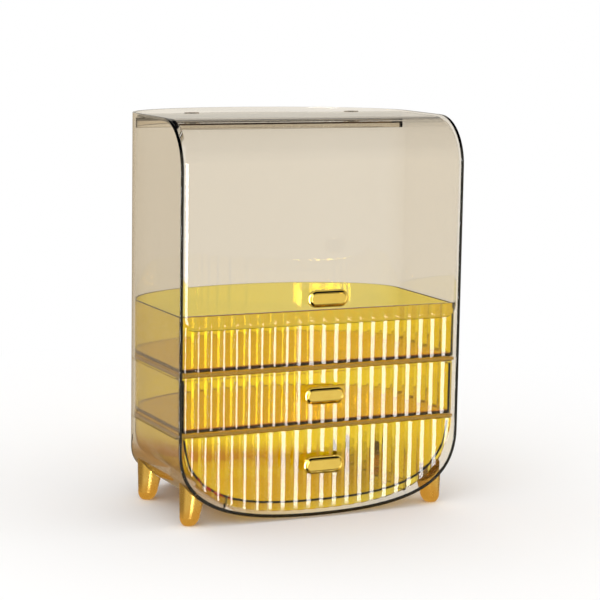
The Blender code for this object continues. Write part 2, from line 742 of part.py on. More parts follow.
def build():
    clear_scene()
    origins = {
        "box": (0, 0, 0),
        "cover_axis": (0, HINGE_Y, HINGE_Z),
        "middle_slide": (0, FRONT_RECESS, MIDDLE_BASE),
        "lower_slide": (0, FRONT_RECESS, LOWER_PANEL_TOP),
    }
    box = empty("box", None, (0, FRONT_Y, 0))
    carriers = {name: empty(name, box, origins[name]) for name in origins if name != "box"}
    carriers["box"] = box

    pieces = [
        (make_casing(), "box", "smoky"),
        (make_shelf("lower_shelf", LOWER_SHELF_BASE), "box", "amber"),
        (make_shelf("upper_shelf", UPPER_SHELF_BASE), "box", "amber"),
        (make_cap(), "box", "clear"),
        (make_pin("hinge_pin_left", -1), "box", "steel"),
        (make_pin("hinge_pin_right", 1), "box", "steel"),
        (make_tray(), "box", "amber"),
        (make_cover(), "cover_axis", "clear"),
        (make_middle_drawer(), "middle_slide", "amber"),
        (make_lower_drawer(), "lower_slide", "amber"),
    ]
    inside_cover = COVER_FACE_INSET + COVER_THICKNESS
    fronts = (
        ("cover", COVER_FACE_INSET, inside_cover, COVER_HANDLE_Z, "cover_axis"),
        ("middle_drawer", FRONT_RECESS, CAVITY_FRONT, MIDDLE_HANDLE_Z, "middle_slide"),
        ("lower_drawer", FRONT_RECESS, CAVITY_FRONT, LOWER_HANDLE_Z, "lower_slide"),
    )
    for name, seat, inside, z, carrier in fronts:
        pieces.append((make_handle(f"{name}_handle", seat, z), carrier, "gold"))
        for side, side_name in ((-1, "left"), (1, "right")):
            screw = make_screw(f"{name}_screw_{side_name}", side, seat, inside, z)
            pieces.append((screw, carrier, "steel"))
    pieces += [(make_foot(side, y, name), "box", "gold") for side, y, name in foot_places()]

    for thing, carrier, finish in pieces:
        paint(thing, finish)
        hang(thing, carriers[carrier], origins[carrier])
    for helper in [thing for thing in bpy.data.objects if thing.hide_render]:
        hang(helper, box, origins["box"])
    bpy.context.view_layer.update()


build()
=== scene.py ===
# %% [markdown]
# # A clear cosmetic box in smoky and amber acrylic
# The box has a moulded casing with a half-oval back, a flip cover, an open tray, two ribbed
# drawers, plated pill handles and four leaning feet. Its measured solids are loaded first. Each
# piece is then made again as a fine mesh of the same size, and given the finish of the real one.

import json
import math

import bmesh
import bpy
from mathutils import Matrix, Vector


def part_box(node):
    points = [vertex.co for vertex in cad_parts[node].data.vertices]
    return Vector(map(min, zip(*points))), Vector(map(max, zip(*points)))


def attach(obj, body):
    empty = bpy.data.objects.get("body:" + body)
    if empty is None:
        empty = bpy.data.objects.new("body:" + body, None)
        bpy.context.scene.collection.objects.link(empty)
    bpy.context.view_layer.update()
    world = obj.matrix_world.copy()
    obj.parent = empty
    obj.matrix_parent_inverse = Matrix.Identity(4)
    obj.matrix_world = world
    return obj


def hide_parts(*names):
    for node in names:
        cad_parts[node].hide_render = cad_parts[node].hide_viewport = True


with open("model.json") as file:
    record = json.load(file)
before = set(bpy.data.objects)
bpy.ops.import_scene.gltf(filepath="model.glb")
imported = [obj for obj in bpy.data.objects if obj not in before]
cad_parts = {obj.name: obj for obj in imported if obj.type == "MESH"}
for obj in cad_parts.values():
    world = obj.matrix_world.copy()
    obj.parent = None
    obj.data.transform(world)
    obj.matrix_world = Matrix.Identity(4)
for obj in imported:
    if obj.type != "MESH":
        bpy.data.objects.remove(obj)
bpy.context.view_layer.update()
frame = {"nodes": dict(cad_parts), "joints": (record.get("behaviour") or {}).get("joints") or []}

# %% [markdown]
# ## Read the main sizes
# A model that repeats sizes by eye drifts away from the real one. The overall sizes are read from
# the measured solids instead, and only what a box of corners can't tell, such as how a corner
# bends, is written here as a value of its own. Lengths are in metres, so a millimetre is 0.001.

# %% Main sizes, from the frame
MM = 0.001
casing_low, casing_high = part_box("casing_shell")
FRONT = casing_low.y
HEIGHT = casing_high.z
BELLY = casing_low.z
HALF_WIDTH = casing_high.x
DEPTH = casing_high.y - casing_low.y
print("casing, mm:", round(HALF_WIDTH * 2 / MM, 1), round(DEPTH / MM, 1), round(HEIGHT / MM, 1))

# %% Sizes of the casing that its box can't tell
WALL = 3.2 * MM
SIDE_DEPTH = 121 * MM
BACK_BOW = DEPTH - SIDE_DEPTH
TOP_RADIUS = 48 * MM
CORNER_TOP = 78 * MM
CORNER_SHARES = (0.60, 0.82)
LEDGE_REACH = 2 * MM
LEDGE_HEIGHT = 2 * MM
LEDGE_FRONT = 11 * MM
SEAT_GAP = 0.3 * MM
RUNNER_X = 98 * MM
RUNNER_WIDTH = 2.4 * MM
RUNNER_END = SIDE_DEPTH + 0.35 * BACK_BOW
LOWER_SHELF_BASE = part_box("lower_shelf")[0].z
UPPER_SHELF_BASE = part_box("upper_shelf")[0].z
print("back bow, mm:", round(BACK_BOW / MM, 1))

# %% [markdown]
# ## Mesh helpers
# Most of these pieces are skins through a row of rings: a ring is one closed outline, and a quad
# joins each pair of neighbouring points. One helper makes such a skin, and one turns a finished
# bmesh into an object with smooth round faces and crisp edges.

# %% Turn a bmesh into an object
SHARP_ANGLE = math.radians(32)
MERGE = 0.002 * MM


def shade(mesh):
    """Smooth faces, with a crisp edge where two of them meet at more than SHARP_ANGLE."""
    mesh.shade_smooth()
    mesh.set_sharp_from_angle(angle=SHARP_ANGLE)


def finish_mesh(name, bm):
    """An object from a bmesh, with doubled points merged and every face turned outward."""
    bmesh.ops.remove_doubles(bm, verts=bm.verts, dist=MERGE)
    bmesh.ops.dissolve_degenerate(bm, edges=bm.edges, dist=MERGE)
    bmesh.ops.recalc_face_normals(bm, faces=bm.faces)
    mesh = bpy.data.meshes.new(name)
    bm.to_mesh(mesh)
    bm.free()
    shade(mesh)
    thing = bpy.data.objects.new(name, mesh)
    bpy.context.scene.collection.objects.link(thing)
    return thing


print("edges are crisp from", round(math.degrees(SHARP_ANGLE)), "degrees")


# %% Skins through rings
def add_rows(bm, rows, closed):
    """Quads between neighbouring rows. A closed row joins its last point to its first."""
    made = [[bm.verts.new(p) for p in row] for row in rows]
    for a, b in zip(made, made[1:]):
        last = len(a) if closed else len(a) - 1
        for i in range(last):
            j = (i + 1) % len(a)
            bm.faces.new((a[i], a[j], b[j], b[i]))
    return made


def loft(name, rings):
    """A closed solid through rings, with a flat face on each end."""
    bm = bmesh.new()
    rows = add_rows(bm, rings, True)
    bm.faces.new(rows[0])
    bm.faces.new(list(reversed(rows[-1])))
    return finish_mesh(name, bm)


# %% Joining and cutting
def keep_result(thing):
    """Makes what an object's modifiers show its own mesh."""
    bpy.context.view_layer.update()
    graph = bpy.context.evaluated_depsgraph_get()
    mesh = bpy.data.meshes.new_from_object(thing.evaluated_get(graph), depsgraph=graph)
    thing.modifiers.clear()
    thing.data = mesh


def combine(thing, other, operation):
    """Joins or cuts with another solid, and removes the other."""
    step = thing.modifiers.new("combine", "BOOLEAN")
    step.operation = operation
    step.object = other
    step.solver = "EXACT"
    keep_result(thing)
    bpy.data.objects.remove(other)
    shade(thing.data)
    return thing


def arc(steps, start=0.0, end=math.pi / 2):
    """Evenly spaced angles, a quarter turn of them if no others are asked for."""
    return [start + (end - start) * i / steps for i in range(steps + 1)]


print("a quarter turn in four steps:", [round(math.degrees(a), 1) for a in arc(4)])

# %% [markdown]
# ## The arched outline
# Seen from the front, the casing's sides run straight down and then swing inward in one long curve
# to a nearly level belly. A Bezier curve with its handles along the wall and along the belly gives
# that, and a second and third curve with other sizes follow it for the lower drawer.

# %% The arch
HALVINGS = 40
FLOOR_STEPS = 30


class Arch:
    """Half of a front outline, from the middle of the belly to the top of the rounded corner."""

    def __init__(self, half_width, belly, top, shares):
        corner = top - (top - belly) * shares[1]
        self.controls = (
            Vector((0, belly)),
            Vector((half_width * shares[0], belly)),
            Vector((half_width, corner)),
            Vector((half_width, top)),
        )

    def at(self, t):
        a, b, c, d = self.controls
        s = 1 - t
        return s**3 * a + 3 * s * s * t * b + 3 * s * t * t * c + t**3 * d

    def share_at(self, axis, value):
        """How far along the curve its width (axis 0) or its height (axis 1) reaches a value."""
        low, high = 0.0, 1.0
        for _ in range(HALVINGS):
            middle = (low + high) / 2
            if self.at(middle)[axis] < value:
                low = middle
            else:
                high = middle
        return (low + high) / 2

    def z_at(self, x):
        return self.at(self.share_at(0, abs(x))).y

    def width_at(self, z):
        return self.at(self.share_at(1, z)).x

    def points_below(self, top):
        """Points of the curve from the middle outward, up to a height."""
        points = [self.at(i / FLOOR_STEPS) for i in range(FLOOR_STEPS + 1)]
        return [point for point in points if point.y < top]


def casing_arch(inset):
    return Arch(HALF_WIDTH - inset, BELLY + inset, CORNER_TOP, CORNER_SHARES)


print("belly, mm:", round(casing_arch(0).z_at(0) / MM, 2))


# %% The half-oval plan
BACK_STEPS = 40


def plan_point(y, angle, side, back):
    """(half width, y) on the plan, drawn in at the sides and the back. y counts from the front."""
    across = (HALF_WIDTH - side) * math.cos(angle)
    return across, FRONT + y + (BACK_BOW - back) * math.sin(angle)


def plan_ring(side, back, front, z):
    """The plan as a ring at height z, from the left front round the back to the right front."""
    bow = BACK_BOW - back
    start = math.asin(max(front - SIDE_DEPTH, 0) / bow)
    half = [plan_point(SIDE_DEPTH, a, side, back) for a in arc(BACK_STEPS, start, math.pi / 2)]
    half[-1] = (0, half[-1][1])
    if front < SIDE_DEPTH:
        half.insert(0, (HALF_WIDTH - side, FRONT + front))
    left = [(-w, y, z) for w, y in half]
    right = [(w, y, z) for w, y in reversed(half[:-1])]
    return left + right


print("points round the plan:", len(plan_ring(0, 0, 0, 0)))

# %% [markdown]
# ## The casing
# The casing is one moulding: a skin that bends through three directions, with one edge that runs
# round the whole front, back over the top corners and round the rear. Cutting it from blocks would
# leave a hard edge. Here an outer and an inner skin are made through stations from front to back,
# and a blunt, soft-cornered bead joins their edges. Light that enters a clear wall by its edge
# runs on inside it and is used up by the dye, so this bead is what shows as a dark band.

# %% Stations of the casing, from front to back
CORNER_STEPS = 14
SIDE_STEPS = 4
LIP = 1.0 * MM


def casing_stations():
    """(y, angle, rim height, how the rim faces, ledge there, runner there) of each station."""
    rows = []
    reach = TOP_RADIUS - LIP
    for a in arc(CORNER_STEPS):
        y = TOP_RADIUS - reach * math.cos(a)
        rows.append((y, 0.0, HEIGHT - TOP_RADIUS + reach * math.sin(a), a))
    for k in range(1, SIDE_STEPS + 1):
        y = TOP_RADIUS + (SIDE_DEPTH - TOP_RADIUS) * k / SIDE_STEPS
        rows.append((y, 0.0, HEIGHT - LIP, math.pi / 2))
    for a in arc(BACK_STEPS)[1:]:
        rows.append((SIDE_DEPTH, a, HEIGHT - LIP, math.pi / 2))
    front_angle = math.acos((TOP_RADIUS - LEDGE_FRONT) / reach)
    front_rim = HEIGHT - TOP_RADIUS + reach * math.sin(front_angle)
    ledge_row = (LEDGE_FRONT, 0.0, front_rim, front_angle)
    runner_angle = math.asin((RUNNER_END - SIDE_DEPTH) / (BACK_BOW - WALL))
    runner_row = (SIDE_DEPTH, runner_angle, HEIGHT - LIP, math.pi / 2)
    stations = []
    ledge = past_runner = False
    for row in rows:
        if not ledge and row[0] > LEDGE_FRONT:
            stations += [(*ledge_row, False, False), (*ledge_row, True, True)]
            ledge = True
        if not past_runner and row[1] > runner_angle:
            stations += [(*runner_row, True, True), (*runner_row, True, False)]
            past_runner = True
        stations.append((*row, ledge, ledge and not past_runner))
    return stations


print("casing stations:", len(casing_stations()))


# %% One skin of the casing
def floor_shares():
    """(share of the arch, raised to the runner or not) of each column. A runner takes four."""
    inner = casing_arch(WALL)
    low = inner.share_at(0, RUNNER_X - RUNNER_WIDTH / 2)
    high = inner.share_at(0, RUNNER_X + RUNNER_WIDTH / 2)
    shares = [i / FLOOR_STEPS for i in range(FLOOR_STEPS + 1)]
    inside = [(share, False) for share in shares if share < low]
    outside = [(share, False) for share in shares if share > high]
    return inside + [(low, False), (low, True), (high, True), (high, False)] + outside


def casing_skin(inset, runner_top):
    """Rows of points over one skin, each from the left rim down, across the floor and up again."""
    arch = casing_arch(inset)
    shares = floor_shares()
    bands = []
    for base in (LOWER_SHELF_BASE, UPPER_SHELF_BASE):
        high = base - SEAT_GAP
        low = high - LEDGE_HEIGHT
        bands += [(low, 0), (low, LEDGE_REACH), (high, LEDGE_REACH), (high, 0)]
    rows = []
    for y, angle, rim, _, ledge, runner in casing_stations():
        w, depth = plan_point(y, angle, inset, inset)
        if angle >= math.pi / 2:
            w = 0.0
        right = []
        for share, raised in shares:
            point = arch.at(share)
            x = min(point.x, w)
            z = point.y if point.x <= w else arch.z_at(w)
            if raised and runner and inset:
                z = runner_top
            right.append((x, depth, z))
        for z, reach in bands:
            step = reach if ledge and inset else 0
            bw, by = plan_point(y, angle, inset + step, inset + step)
            right.append((0.0 if angle >= math.pi / 2 else bw, by, z))
        right.append((w, depth, rim))
        left = [(-x, yy, z) for x, yy, z in reversed(right[1:])]
        rows.append(left + right)
    return rows


print("columns across half of the floor:", len(floor_shares()))

# %% Join the two skins with the bead
LIP_STEPS = 14
LIP_POWER = 0.5    # squares the bead's half circle off, which makes it blunt with soft corners


def edge_loop(rows):
    """The free edge of a skin: its front row, the right rim to the back and the left one home."""
    right = [row[-1] for row in rows[1:]]
    left = [row[0] for row in reversed(rows[1:-1])]
    return rows[0] + right + left


def edge_facings(rows):
    """The way each point of the edge faces: forward at the front, upward along the top."""
    angles = [station[3] for station in casing_stations()]
    faces = [Vector((0, -1, 0))] * len(rows[0])
    along = angles[1:] + list(reversed(angles[1:-1]))
    return faces + [Vector((0, -math.cos(a), math.sin(a))) for a in along]


def make_casing(runner_top):
    outer = casing_skin(0, runner_top)
    inner = casing_skin(WALL, runner_top)
    bm = bmesh.new()
    add_rows(bm, outer, False)
    add_rows(bm, inner, False)
    beads = []
    loops = zip(edge_loop(outer), edge_loop(inner), edge_facings(outer))
    for a, b, facing in loops:
        a, b = Vector(a), Vector(b)
        middle, across = (a + b) / 2, (a - b) / 2
        bead = []
        for t in arc(LIP_STEPS, 0, math.pi):
            c, s = math.cos(t), max(math.sin(t), 0)
            share = math.copysign(abs(c) ** LIP_POWER, c)
            bead.append(middle + across * share + facing * LIP * s ** LIP_POWER)
        beads.append(bead)
    beads.append(beads[0])
    add_rows(bm, beads, False)
    return finish_mesh("casing", bm)


# %% The runners reach up to the lower drawer's tub
DRAWER_INSET = WALL + LEDGE_REACH + 0.8 * MM
LOWER_TUB_RISE = 13.2 * MM
LOWER_TUB_TOP = 96 * MM
LOWER_TUB_SHARES = (0.55, 0.92)


def lower_tub_arch(inset):
    return Arch(HALF_WIDTH - DRAWER_INSET - inset, BELLY + LOWER_TUB_RISE + inset,
                LOWER_TUB_TOP, LOWER_TUB_SHARES)


under_tub = lower_tub_arch(0).z_at(RUNNER_X - RUNNER_WIDTH / 2) - SEAT_GAP
casing = make_casing(under_tub)
print("casing faces:", len(casing.data.polygons))

# %% [markdown]
# ## Shelves and the rear top cap
# The two shelves are plates with the half-oval plan, which lie on the ledges. The cap closes the
# rear of the top and carries the hinges. All three are the same plan drawn in step by step, so
# their edges are rounded as a moulding's are.

# %% Rounded plates
PLATE_SOFT = 0.8 * MM


def rounded_profile(low, high, radius, steps=4):
    """(draw-in, z) pairs up the edge of a plate with rounded corners."""
    under = [(radius * (1 - math.sin(a)), low + radius * (1 - math.cos(a))) for a in arc(steps)]
    over = [(radius * (1 - math.cos(a)), high - radius * (1 - math.sin(a))) for a in arc(steps)]
    return under + over


def make_shelf(name):
    low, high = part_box(name)
    side = HALF_WIDTH - high.x
    front = low.y - FRONT
    profile = rounded_profile(low.z, high.z, PLATE_SOFT)
    return loft(f"{name}_plate", [plan_ring(side + d, side + d, front + d, z) for d, z in profile])


lower_shelf = make_shelf("lower_shelf")
upper_shelf = make_shelf("upper_shelf")
print("shelf thickness, mm:", round(lower_shelf.dimensions.z / MM, 2))

# %% The cap with its skirt
CAP_THICKNESS = 2.6 * MM
CAP_SKIRT_WALL = 2.4 * MM
CAP_TOP = HEIGHT - 5 * MM
cap_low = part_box("rear_top_cap")[0]
CAP_FRONT = cap_low.y - FRONT


def make_cap():
    side = WALL + SEAT_GAP
    under = CAP_TOP - CAP_THICKNESS
    outside = rounded_profile(cap_low.z, CAP_TOP, PLATE_SOFT)[::-1]
    inside = [(CAP_SKIRT_WALL, cap_low.z), (CAP_SKIRT_WALL, under - PLATE_SOFT),
              (CAP_SKIRT_WALL + PLATE_SOFT, under)]
    rings = [plan_ring(side + d, side + d, CAP_FRONT + d, z) for d, z in outside + inside]
    return loft("top_cap", rings)


cap = make_cap()
print("cap depth, mm:", round(cap.dimensions.y / MM, 1))

# %% [markdown]
# ## Hinges
# Two steel pins run through ears on the cap and a knuckle on the cover. The ears and the knuckles
# are short bars with round ends, joined to their plates with a Boolean and then bored.

# %% Bars and bores
hinge = next(j for j in frame["joints"] if j["name"] == "cover_hinge")
HINGE_Y, HINGE_Z = hinge["pos_m"][1], hinge["pos_m"][2]
HINGE_X = 88 * MM
HINGE_RADIUS = 2.1 * MM
HINGE_STEPS = 12
EAR_WIDTH = 4 * MM
KNUCKLE_WIDTH = 6 * MM
BORE_RADIUS = 1.1 * MM
OVERRUN = 2 * MM    # how far a cutting solid reaches past what it cuts


def bar(name, profile, low, high):
    """A (y, z) outline carried along X from low to high."""
    return loft(name, [[(x, y, z) for y, z in profile] for x in (low, high)])


def around_hinge(radius, start, end, steps=HINGE_STEPS):
    """(y, z) points on a circle round the hinge's axis."""
    return [(HINGE_Y + radius * math.cos(a), HINGE_Z + radius * math.sin(a))
            for a in arc(steps, start, end)]


def bore(middle, reach):
    """A rod for cutting the pin's hole, to both sides of middle."""
    profile = around_hinge(BORE_RADIUS, 0, 2 * math.pi, 2 * HINGE_STEPS)[:-1]
    return bar("bore", profile, middle - reach, middle + reach)


def add_ears(cap):
    root = CAP_TOP - CAP_THICKNESS / 2
    profile = around_hinge(HINGE_RADIUS, 0, math.pi)
    profile += [(HINGE_Y - HINGE_RADIUS, root), (HINGE_Y + HINGE_RADIUS, root)]
    apart = (KNUCKLE_WIDTH + EAR_WIDTH + 2 * SEAT_GAP) / 2
    for x in (-HINGE_X, HINGE_X):
        for middle in (x - apart, x + apart):
            ear = bar("ear", profile, middle - EAR_WIDTH / 2, middle + EAR_WIDTH / 2)
            combine(cap, ear, "UNION")
        combine(cap, bore(x, KNUCKLE_WIDTH + EAR_WIDTH + OVERRUN), "DIFFERENCE")


add_ears(cap)
print("cap faces:", len(cap.data.polygons))

# %% [markdown]
# ## The flip cover
# The cover is one bent sheet. Its section, a thin bar with bevelled sides, is carried along the
# top, round the front corner and down to the lower edge, where the bar grows narrower so that the
# lower corners are round, and thinner so that the edge is fully rounded. The bevels catch the same
# light as the ribs, as a broad white band.

# %% The cover's path
COVER_THICKNESS = 2.5 * MM
COVER_FACE = 0.5 * MM
COVER_CORNER = 13 * MM
COVER_REAR_CORNER = 5 * MM
COVER_EDGE = 1.2 * MM
COVER_REAR_STEPS = 8
COVER_BEND_STEPS = 28
COVER_CORNER_STEPS = 14
cover_low, cover_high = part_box("flip_cover")
COVER_HALF = cover_high.x
COVER_TOP = HEIGHT - 1.2 * MM
COVER_BOTTOM = cover_low.z
COVER_REAR = HINGE_Y - HINGE_RADIUS - 3 * SEAT_GAP


def cover_path():
    """(outer point, inward direction, half width, rounding) from the rear to the lower edge."""
    face = FRONT + COVER_FACE
    radius = TOP_RADIUS - COVER_FACE
    centre = Vector((face + radius, COVER_TOP - radius))
    path = []
    for a in arc(COVER_REAR_STEPS):
        ahead = COVER_REAR_CORNER * (1 - math.cos(a))
        width = COVER_HALF - COVER_REAR_CORNER * (1 - math.sin(a))
        path.append((Vector((COVER_REAR - ahead, COVER_TOP)), Vector((0, -1)), width, 0))
    for a in arc(COVER_BEND_STEPS):
        out = Vector((-math.sin(a), math.cos(a)))
        path.append((centre + radius * out, -out, COVER_HALF, 0))
    for a in arc(COVER_CORNER_STEPS):
        rise = COVER_CORNER * (1 - math.sin(a))
        width = COVER_HALF - COVER_CORNER * (1 - math.cos(a))
        reach = max(COVER_EDGE - rise, 0)
        rounding = COVER_EDGE - math.sqrt(COVER_EDGE ** 2 - reach ** 2)
        path.append((Vector((face, COVER_BOTTOM + rise)), Vector((1, 0)), width, rounding))
    return path


print("places along the cover's path:", len(cover_path()))

# %% The cover's section
COVER_BEVEL = 4.2 * MM
COVER_BEVEL_DEPTH = 1.7 * MM
COVER_SOFT = 0.4 * MM


def cover_section(point, inward, width, rounding):
    """The bar's outline at one place: a flat face, two gently rounded bevels and a flat back."""
    soft = COVER_SOFT
    side = [
        (COVER_BEVEL + soft, 0), (COVER_BEVEL - soft, soft / 4),
        (2 * soft, COVER_BEVEL_DEPTH - 1.5 * soft), (0, COVER_BEVEL_DEPTH + soft / 2),
        (0, COVER_THICKNESS - soft / 2), (soft / 2, COVER_THICKNESS),
    ]
    right = []
    for across, depth in side:
        depth = min(max(depth, rounding), COVER_THICKNESS - rounding)
        right.append((width - across, point + inward * depth))
    left = [(-x, spot) for x, spot in reversed(right)]
    return [(x, spot.x, spot.y) for x, spot in left + right]


print("points of the cover's section:", len(cover_section(*cover_path()[0])))

# %% The cover with its knuckles
ARM_LENGTH = 4 * MM    # how far a knuckle's arm lies in the sheet


def make_cover():
    cover = loft("cover_sheet", [cover_section(*place) for place in cover_path()])
    arm_end = COVER_REAR - ARM_LENGTH
    low, high = COVER_TOP - COVER_THICKNESS + SEAT_GAP, COVER_TOP - SEAT_GAP
    profile = around_hinge(HINGE_RADIUS, -math.pi / 2, math.pi / 2)
    profile += [(HINGE_Y - HINGE_RADIUS / 2, high), (arm_end, high), (arm_end, low),
                (HINGE_Y - HINGE_RADIUS, low)]
    for x in (-HINGE_X, HINGE_X):
        knuckle = bar("knuckle", profile, x - KNUCKLE_WIDTH / 2, x + KNUCKLE_WIDTH / 2)
        combine(cover, knuckle, "UNION")
        combine(cover, bore(x, KNUCKLE_WIDTH), "DIFFERENCE")
    return cover


cover = make_cover()
print("cover faces:", len(cover.data.polygons))

# %% [markdown]
# ## Ribbed fronts
# The fronts are reeded: shallow ribs with a broad, nearly flat crest, sloping shoulders and a
# narrow valley. The left shoulder of each rib catches the window light as a white line. The curve
# is given by its slopes and added up, because it is the slope that decides what a shoulder
# reflects.

# %% The ribs' outline
FACE = 4.2 * MM
RIB_DEPTH = 1.6 * MM
RIB_PITCH = 13.3 * MM
# (share of the way from the crest to the valley, slope there)
RIB_SLOPES = ((0, 0), (0.38, 0.04), (0.40, 0.44), (0.89, 0.62), (0.91, 0), (1, 0))
BEND_SHARE = 0.05
BEND_STEPS = 4


def half_rib():
    """(share of the way from the crest to the valley, share of the whole depth) of each point."""
    points = [(0.0, 0.0)]
    for (u0, s0), (u1, s1) in zip(RIB_SLOPES, RIB_SLOPES[1:]):
        steps = BEND_STEPS if u1 - u0 > BEND_SHARE else 1
        for k in range(steps):
            slope = s0 + (s1 - s0) * (k + 0.5) / steps
            drop = points[-1][1] + slope * (u1 - u0) / steps
            points.append((u0 + (u1 - u0) * (k + 1) / steps, drop))
    deepest = points[-1][1]
    return [(u, drop / deepest) for u, drop in points]


HALF_RIB = half_rib()
print("points of half a rib:", len(HALF_RIB))

# %% Ribbed panels
PANEL_THICKNESS = 2.2 * MM
PANEL_BACK = FACE + RIB_DEPTH + PANEL_THICKNESS
PANEL_SOFT = 0.4 * MM
PANEL_SOFT_STEPS = 3


def rib_outline(half_width, draw_in):
    """(x, y) points of a ribbed front, closed by a flat back. draw_in shrinks it on all sides."""
    count = 2 * round(half_width / RIB_PITCH)
    pitch = 2 * half_width / count
    points = []
    whole_rib = [(-u, drop) for u, drop in reversed(HALF_RIB)] + HALF_RIB[1:-1]
    for i in range(count):
        for u, drop in whole_rib:
            x = -half_width + pitch * (i + (1 + u) / 2)
            points.append([x, FRONT + FACE + RIB_DEPTH * drop + draw_in])
    points.append([half_width, FRONT + FACE + RIB_DEPTH + draw_in])
    edge = half_width - draw_in
    for point in points:
        point[0] = max(-edge, min(edge, point[0]))
    points += [[edge, FRONT + PANEL_BACK - draw_in], [-edge, FRONT + PANEL_BACK - draw_in]]
    return points


def ribbed_panel(name, half_width, low, high):
    rings = [
        [(x, y, z) for x, y in rib_outline(half_width, d)]
        for d, z in rounded_profile(low, high, PANEL_SOFT, PANEL_SOFT_STEPS)
    ]
    return loft(name, rings)


print("points round the widest panel:", len(rib_outline(HALF_WIDTH, 0)))

# %% [markdown]
# ## The tray and the middle drawer
# Each is an open tub with a ribbed front. The tub's profile runs up the outside, over a half-round
# rim and down the inside, and the plan gives a ring for each of its points. That keeps the wall
# even all round, which hollowing out a block and rounding it later would not.

# %% Tubs
TUB_WALL = 2.2 * MM
TUB_FLOOR = 2.4 * MM
TUB_FRONT = FACE + RIB_DEPTH + PANEL_THICKNESS / 2
TUB_CORNER = 2.0 * MM
TUB_BACK_GAP = 1.0 * MM
TUB_CORNER_STEPS = 5
TUB_RIM_STEPS = 8
CAVITY_FRONT = PANEL_BACK + SEAT_GAP


def tub_profile(low, high):
    """(draw-in, z) pairs up the outside of a tub, over its rim and down inside."""
    r, half, floor = TUB_CORNER, TUB_WALL / 2, low + TUB_FLOOR
    quarter = arc(TUB_CORNER_STEPS)
    outside = [(r * (1 - math.sin(a)), low + r * (1 - math.cos(a))) for a in quarter]
    rim = [(half - half * math.cos(a), high - half + half * math.sin(a))
           for a in arc(TUB_RIM_STEPS, 0, math.pi)]
    inside = [(TUB_WALL + r * (1 - math.cos(a)), floor + r * (1 - math.sin(a))) for a in quarter]
    return outside + rim + inside


def make_tub(name, inset, low, high):
    front_share = (CAVITY_FRONT - TUB_FRONT) / TUB_WALL
    rings = []
    for d, z in tub_profile(low, high):
        front = TUB_FRONT + min(d, TUB_WALL) * front_share + max(d - TUB_WALL, 0)
        rings.append(plan_ring(inset + d, inset + TUB_BACK_GAP + d, front, z))
    return loft(name, rings)


print("points of a tub's profile:", len(tub_profile(0, 0)))

# %% Flat drawers
PANEL_LIFT = 0.4 * MM
TRAY_INSET = WALL + 1.2 * MM
TRAY_RIM_DROP = 0.4 * MM


def tub_top_under(shelf_base):
    """The rim of a tub that runs under a shelf, clear of the ledges that carry the shelf."""
    return shelf_base - 2 * SEAT_GAP - LEDGE_HEIGHT - SEAT_GAP


def make_flat_drawer(node, name, inset, tub_top):
    low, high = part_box(node)
    tub = make_tub(name, inset, low.z, tub_top)
    panel = ribbed_panel("panel", high.x, low.z + PANEL_LIFT, high.z)
    return combine(tub, panel, "UNION")


tray_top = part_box("top_tray")[1].z - TRAY_RIM_DROP
tray = make_flat_drawer("top_tray", "tray", TRAY_INSET, tray_top)
middle_drawer = make_flat_drawer("middle_drawer", "middle_drawer_tub", DRAWER_INSET,
                                 tub_top_under(UPPER_SHELF_BASE))
print("tray and middle drawer faces:", len(tray.data.polygons), len(middle_drawer.data.polygons))

# %% [markdown]
# ## The lower drawer
# Its ribs run down into the arch of the casing, so the front is a ribbed slab trimmed to the
# opening. The tub behind it has the plan of the others and an arched floor of its own.

# %% Blocks with an arched floor
def arched_block(name, arch, side, back, front, top):
    """A solid with the half-oval plan, an arched floor and a level top."""
    columns = arch.points_below(top)
    stations = [(front, 0.0)] + [(SIDE_DEPTH, a) for a in arc(BACK_STEPS)]
    rows = []
    for y, angle in stations:
        w, depth = plan_point(y, angle, side, back)
        w = 0.0 if angle >= math.pi / 2 else w
        right = [(min(p.x, w), depth, p.y if p.x <= w else arch.z_at(w)) for p in columns]
        right.append((min(w, arch.width_at(top)), depth, top))
        left = [(-x, yy, z) for x, yy, z in reversed(right[1:])]
        rows.append(left + right)
    bm = bmesh.new()
    made = add_rows(bm, rows, True)
    bm.faces.new(made[0])
    return finish_mesh(name, bm)


# %% The outline of the lower front
PANEL_SIDE = WALL + 1.3 * MM
LOWER_FRONT_SHARES = (0.50, 0.92)
lower_low, lower_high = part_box("lower_drawer")


def front_trim():
    """The casing's opening less its gap, carried on past the front's level top."""
    arch = Arch(HALF_WIDTH - PANEL_SIDE, lower_low.z, LOWER_TUB_TOP, LOWER_FRONT_SHARES)
    top = lower_high.z
    right = arch.points_below(top)
    right += [Vector((arch.width_at(top), z)) for z in (top, top + OVERRUN)]
    left = [Vector((-p.x, p.y)) for p in reversed(right[1:])]
    return left + right


print("points of the lower front's outline:", len(front_trim()))


# %% The lower drawer's front and tub
def make_lower_drawer():
    half = HALF_WIDTH - PANEL_SIDE + RIB_PITCH / 2
    front = ribbed_panel("front", half, 0.0, lower_high.z)
    rings = [[(p.x, FRONT + y, p.y) for p in front_trim()] for y in (0, PANEL_BACK + OVERRUN)]
    combine(front, loft("trim", rings), "INTERSECT")
    side, back = DRAWER_INSET, DRAWER_INSET + TUB_BACK_GAP
    top = tub_top_under(LOWER_SHELF_BASE)
    tub = arched_block("lower_drawer_tub", lower_tub_arch(0), side, back, TUB_FRONT, top)
    combine(tub, front, "UNION")
    hollow = arched_block("hollow", lower_tub_arch(TUB_WALL), side + TUB_WALL, back + TUB_WALL,
                          CAVITY_FRONT, top + OVERRUN)
    return combine(tub, hollow, "DIFFERENCE")


lower_drawer = make_lower_drawer()
print("lower drawer faces:", len(lower_drawer.data.polygons))

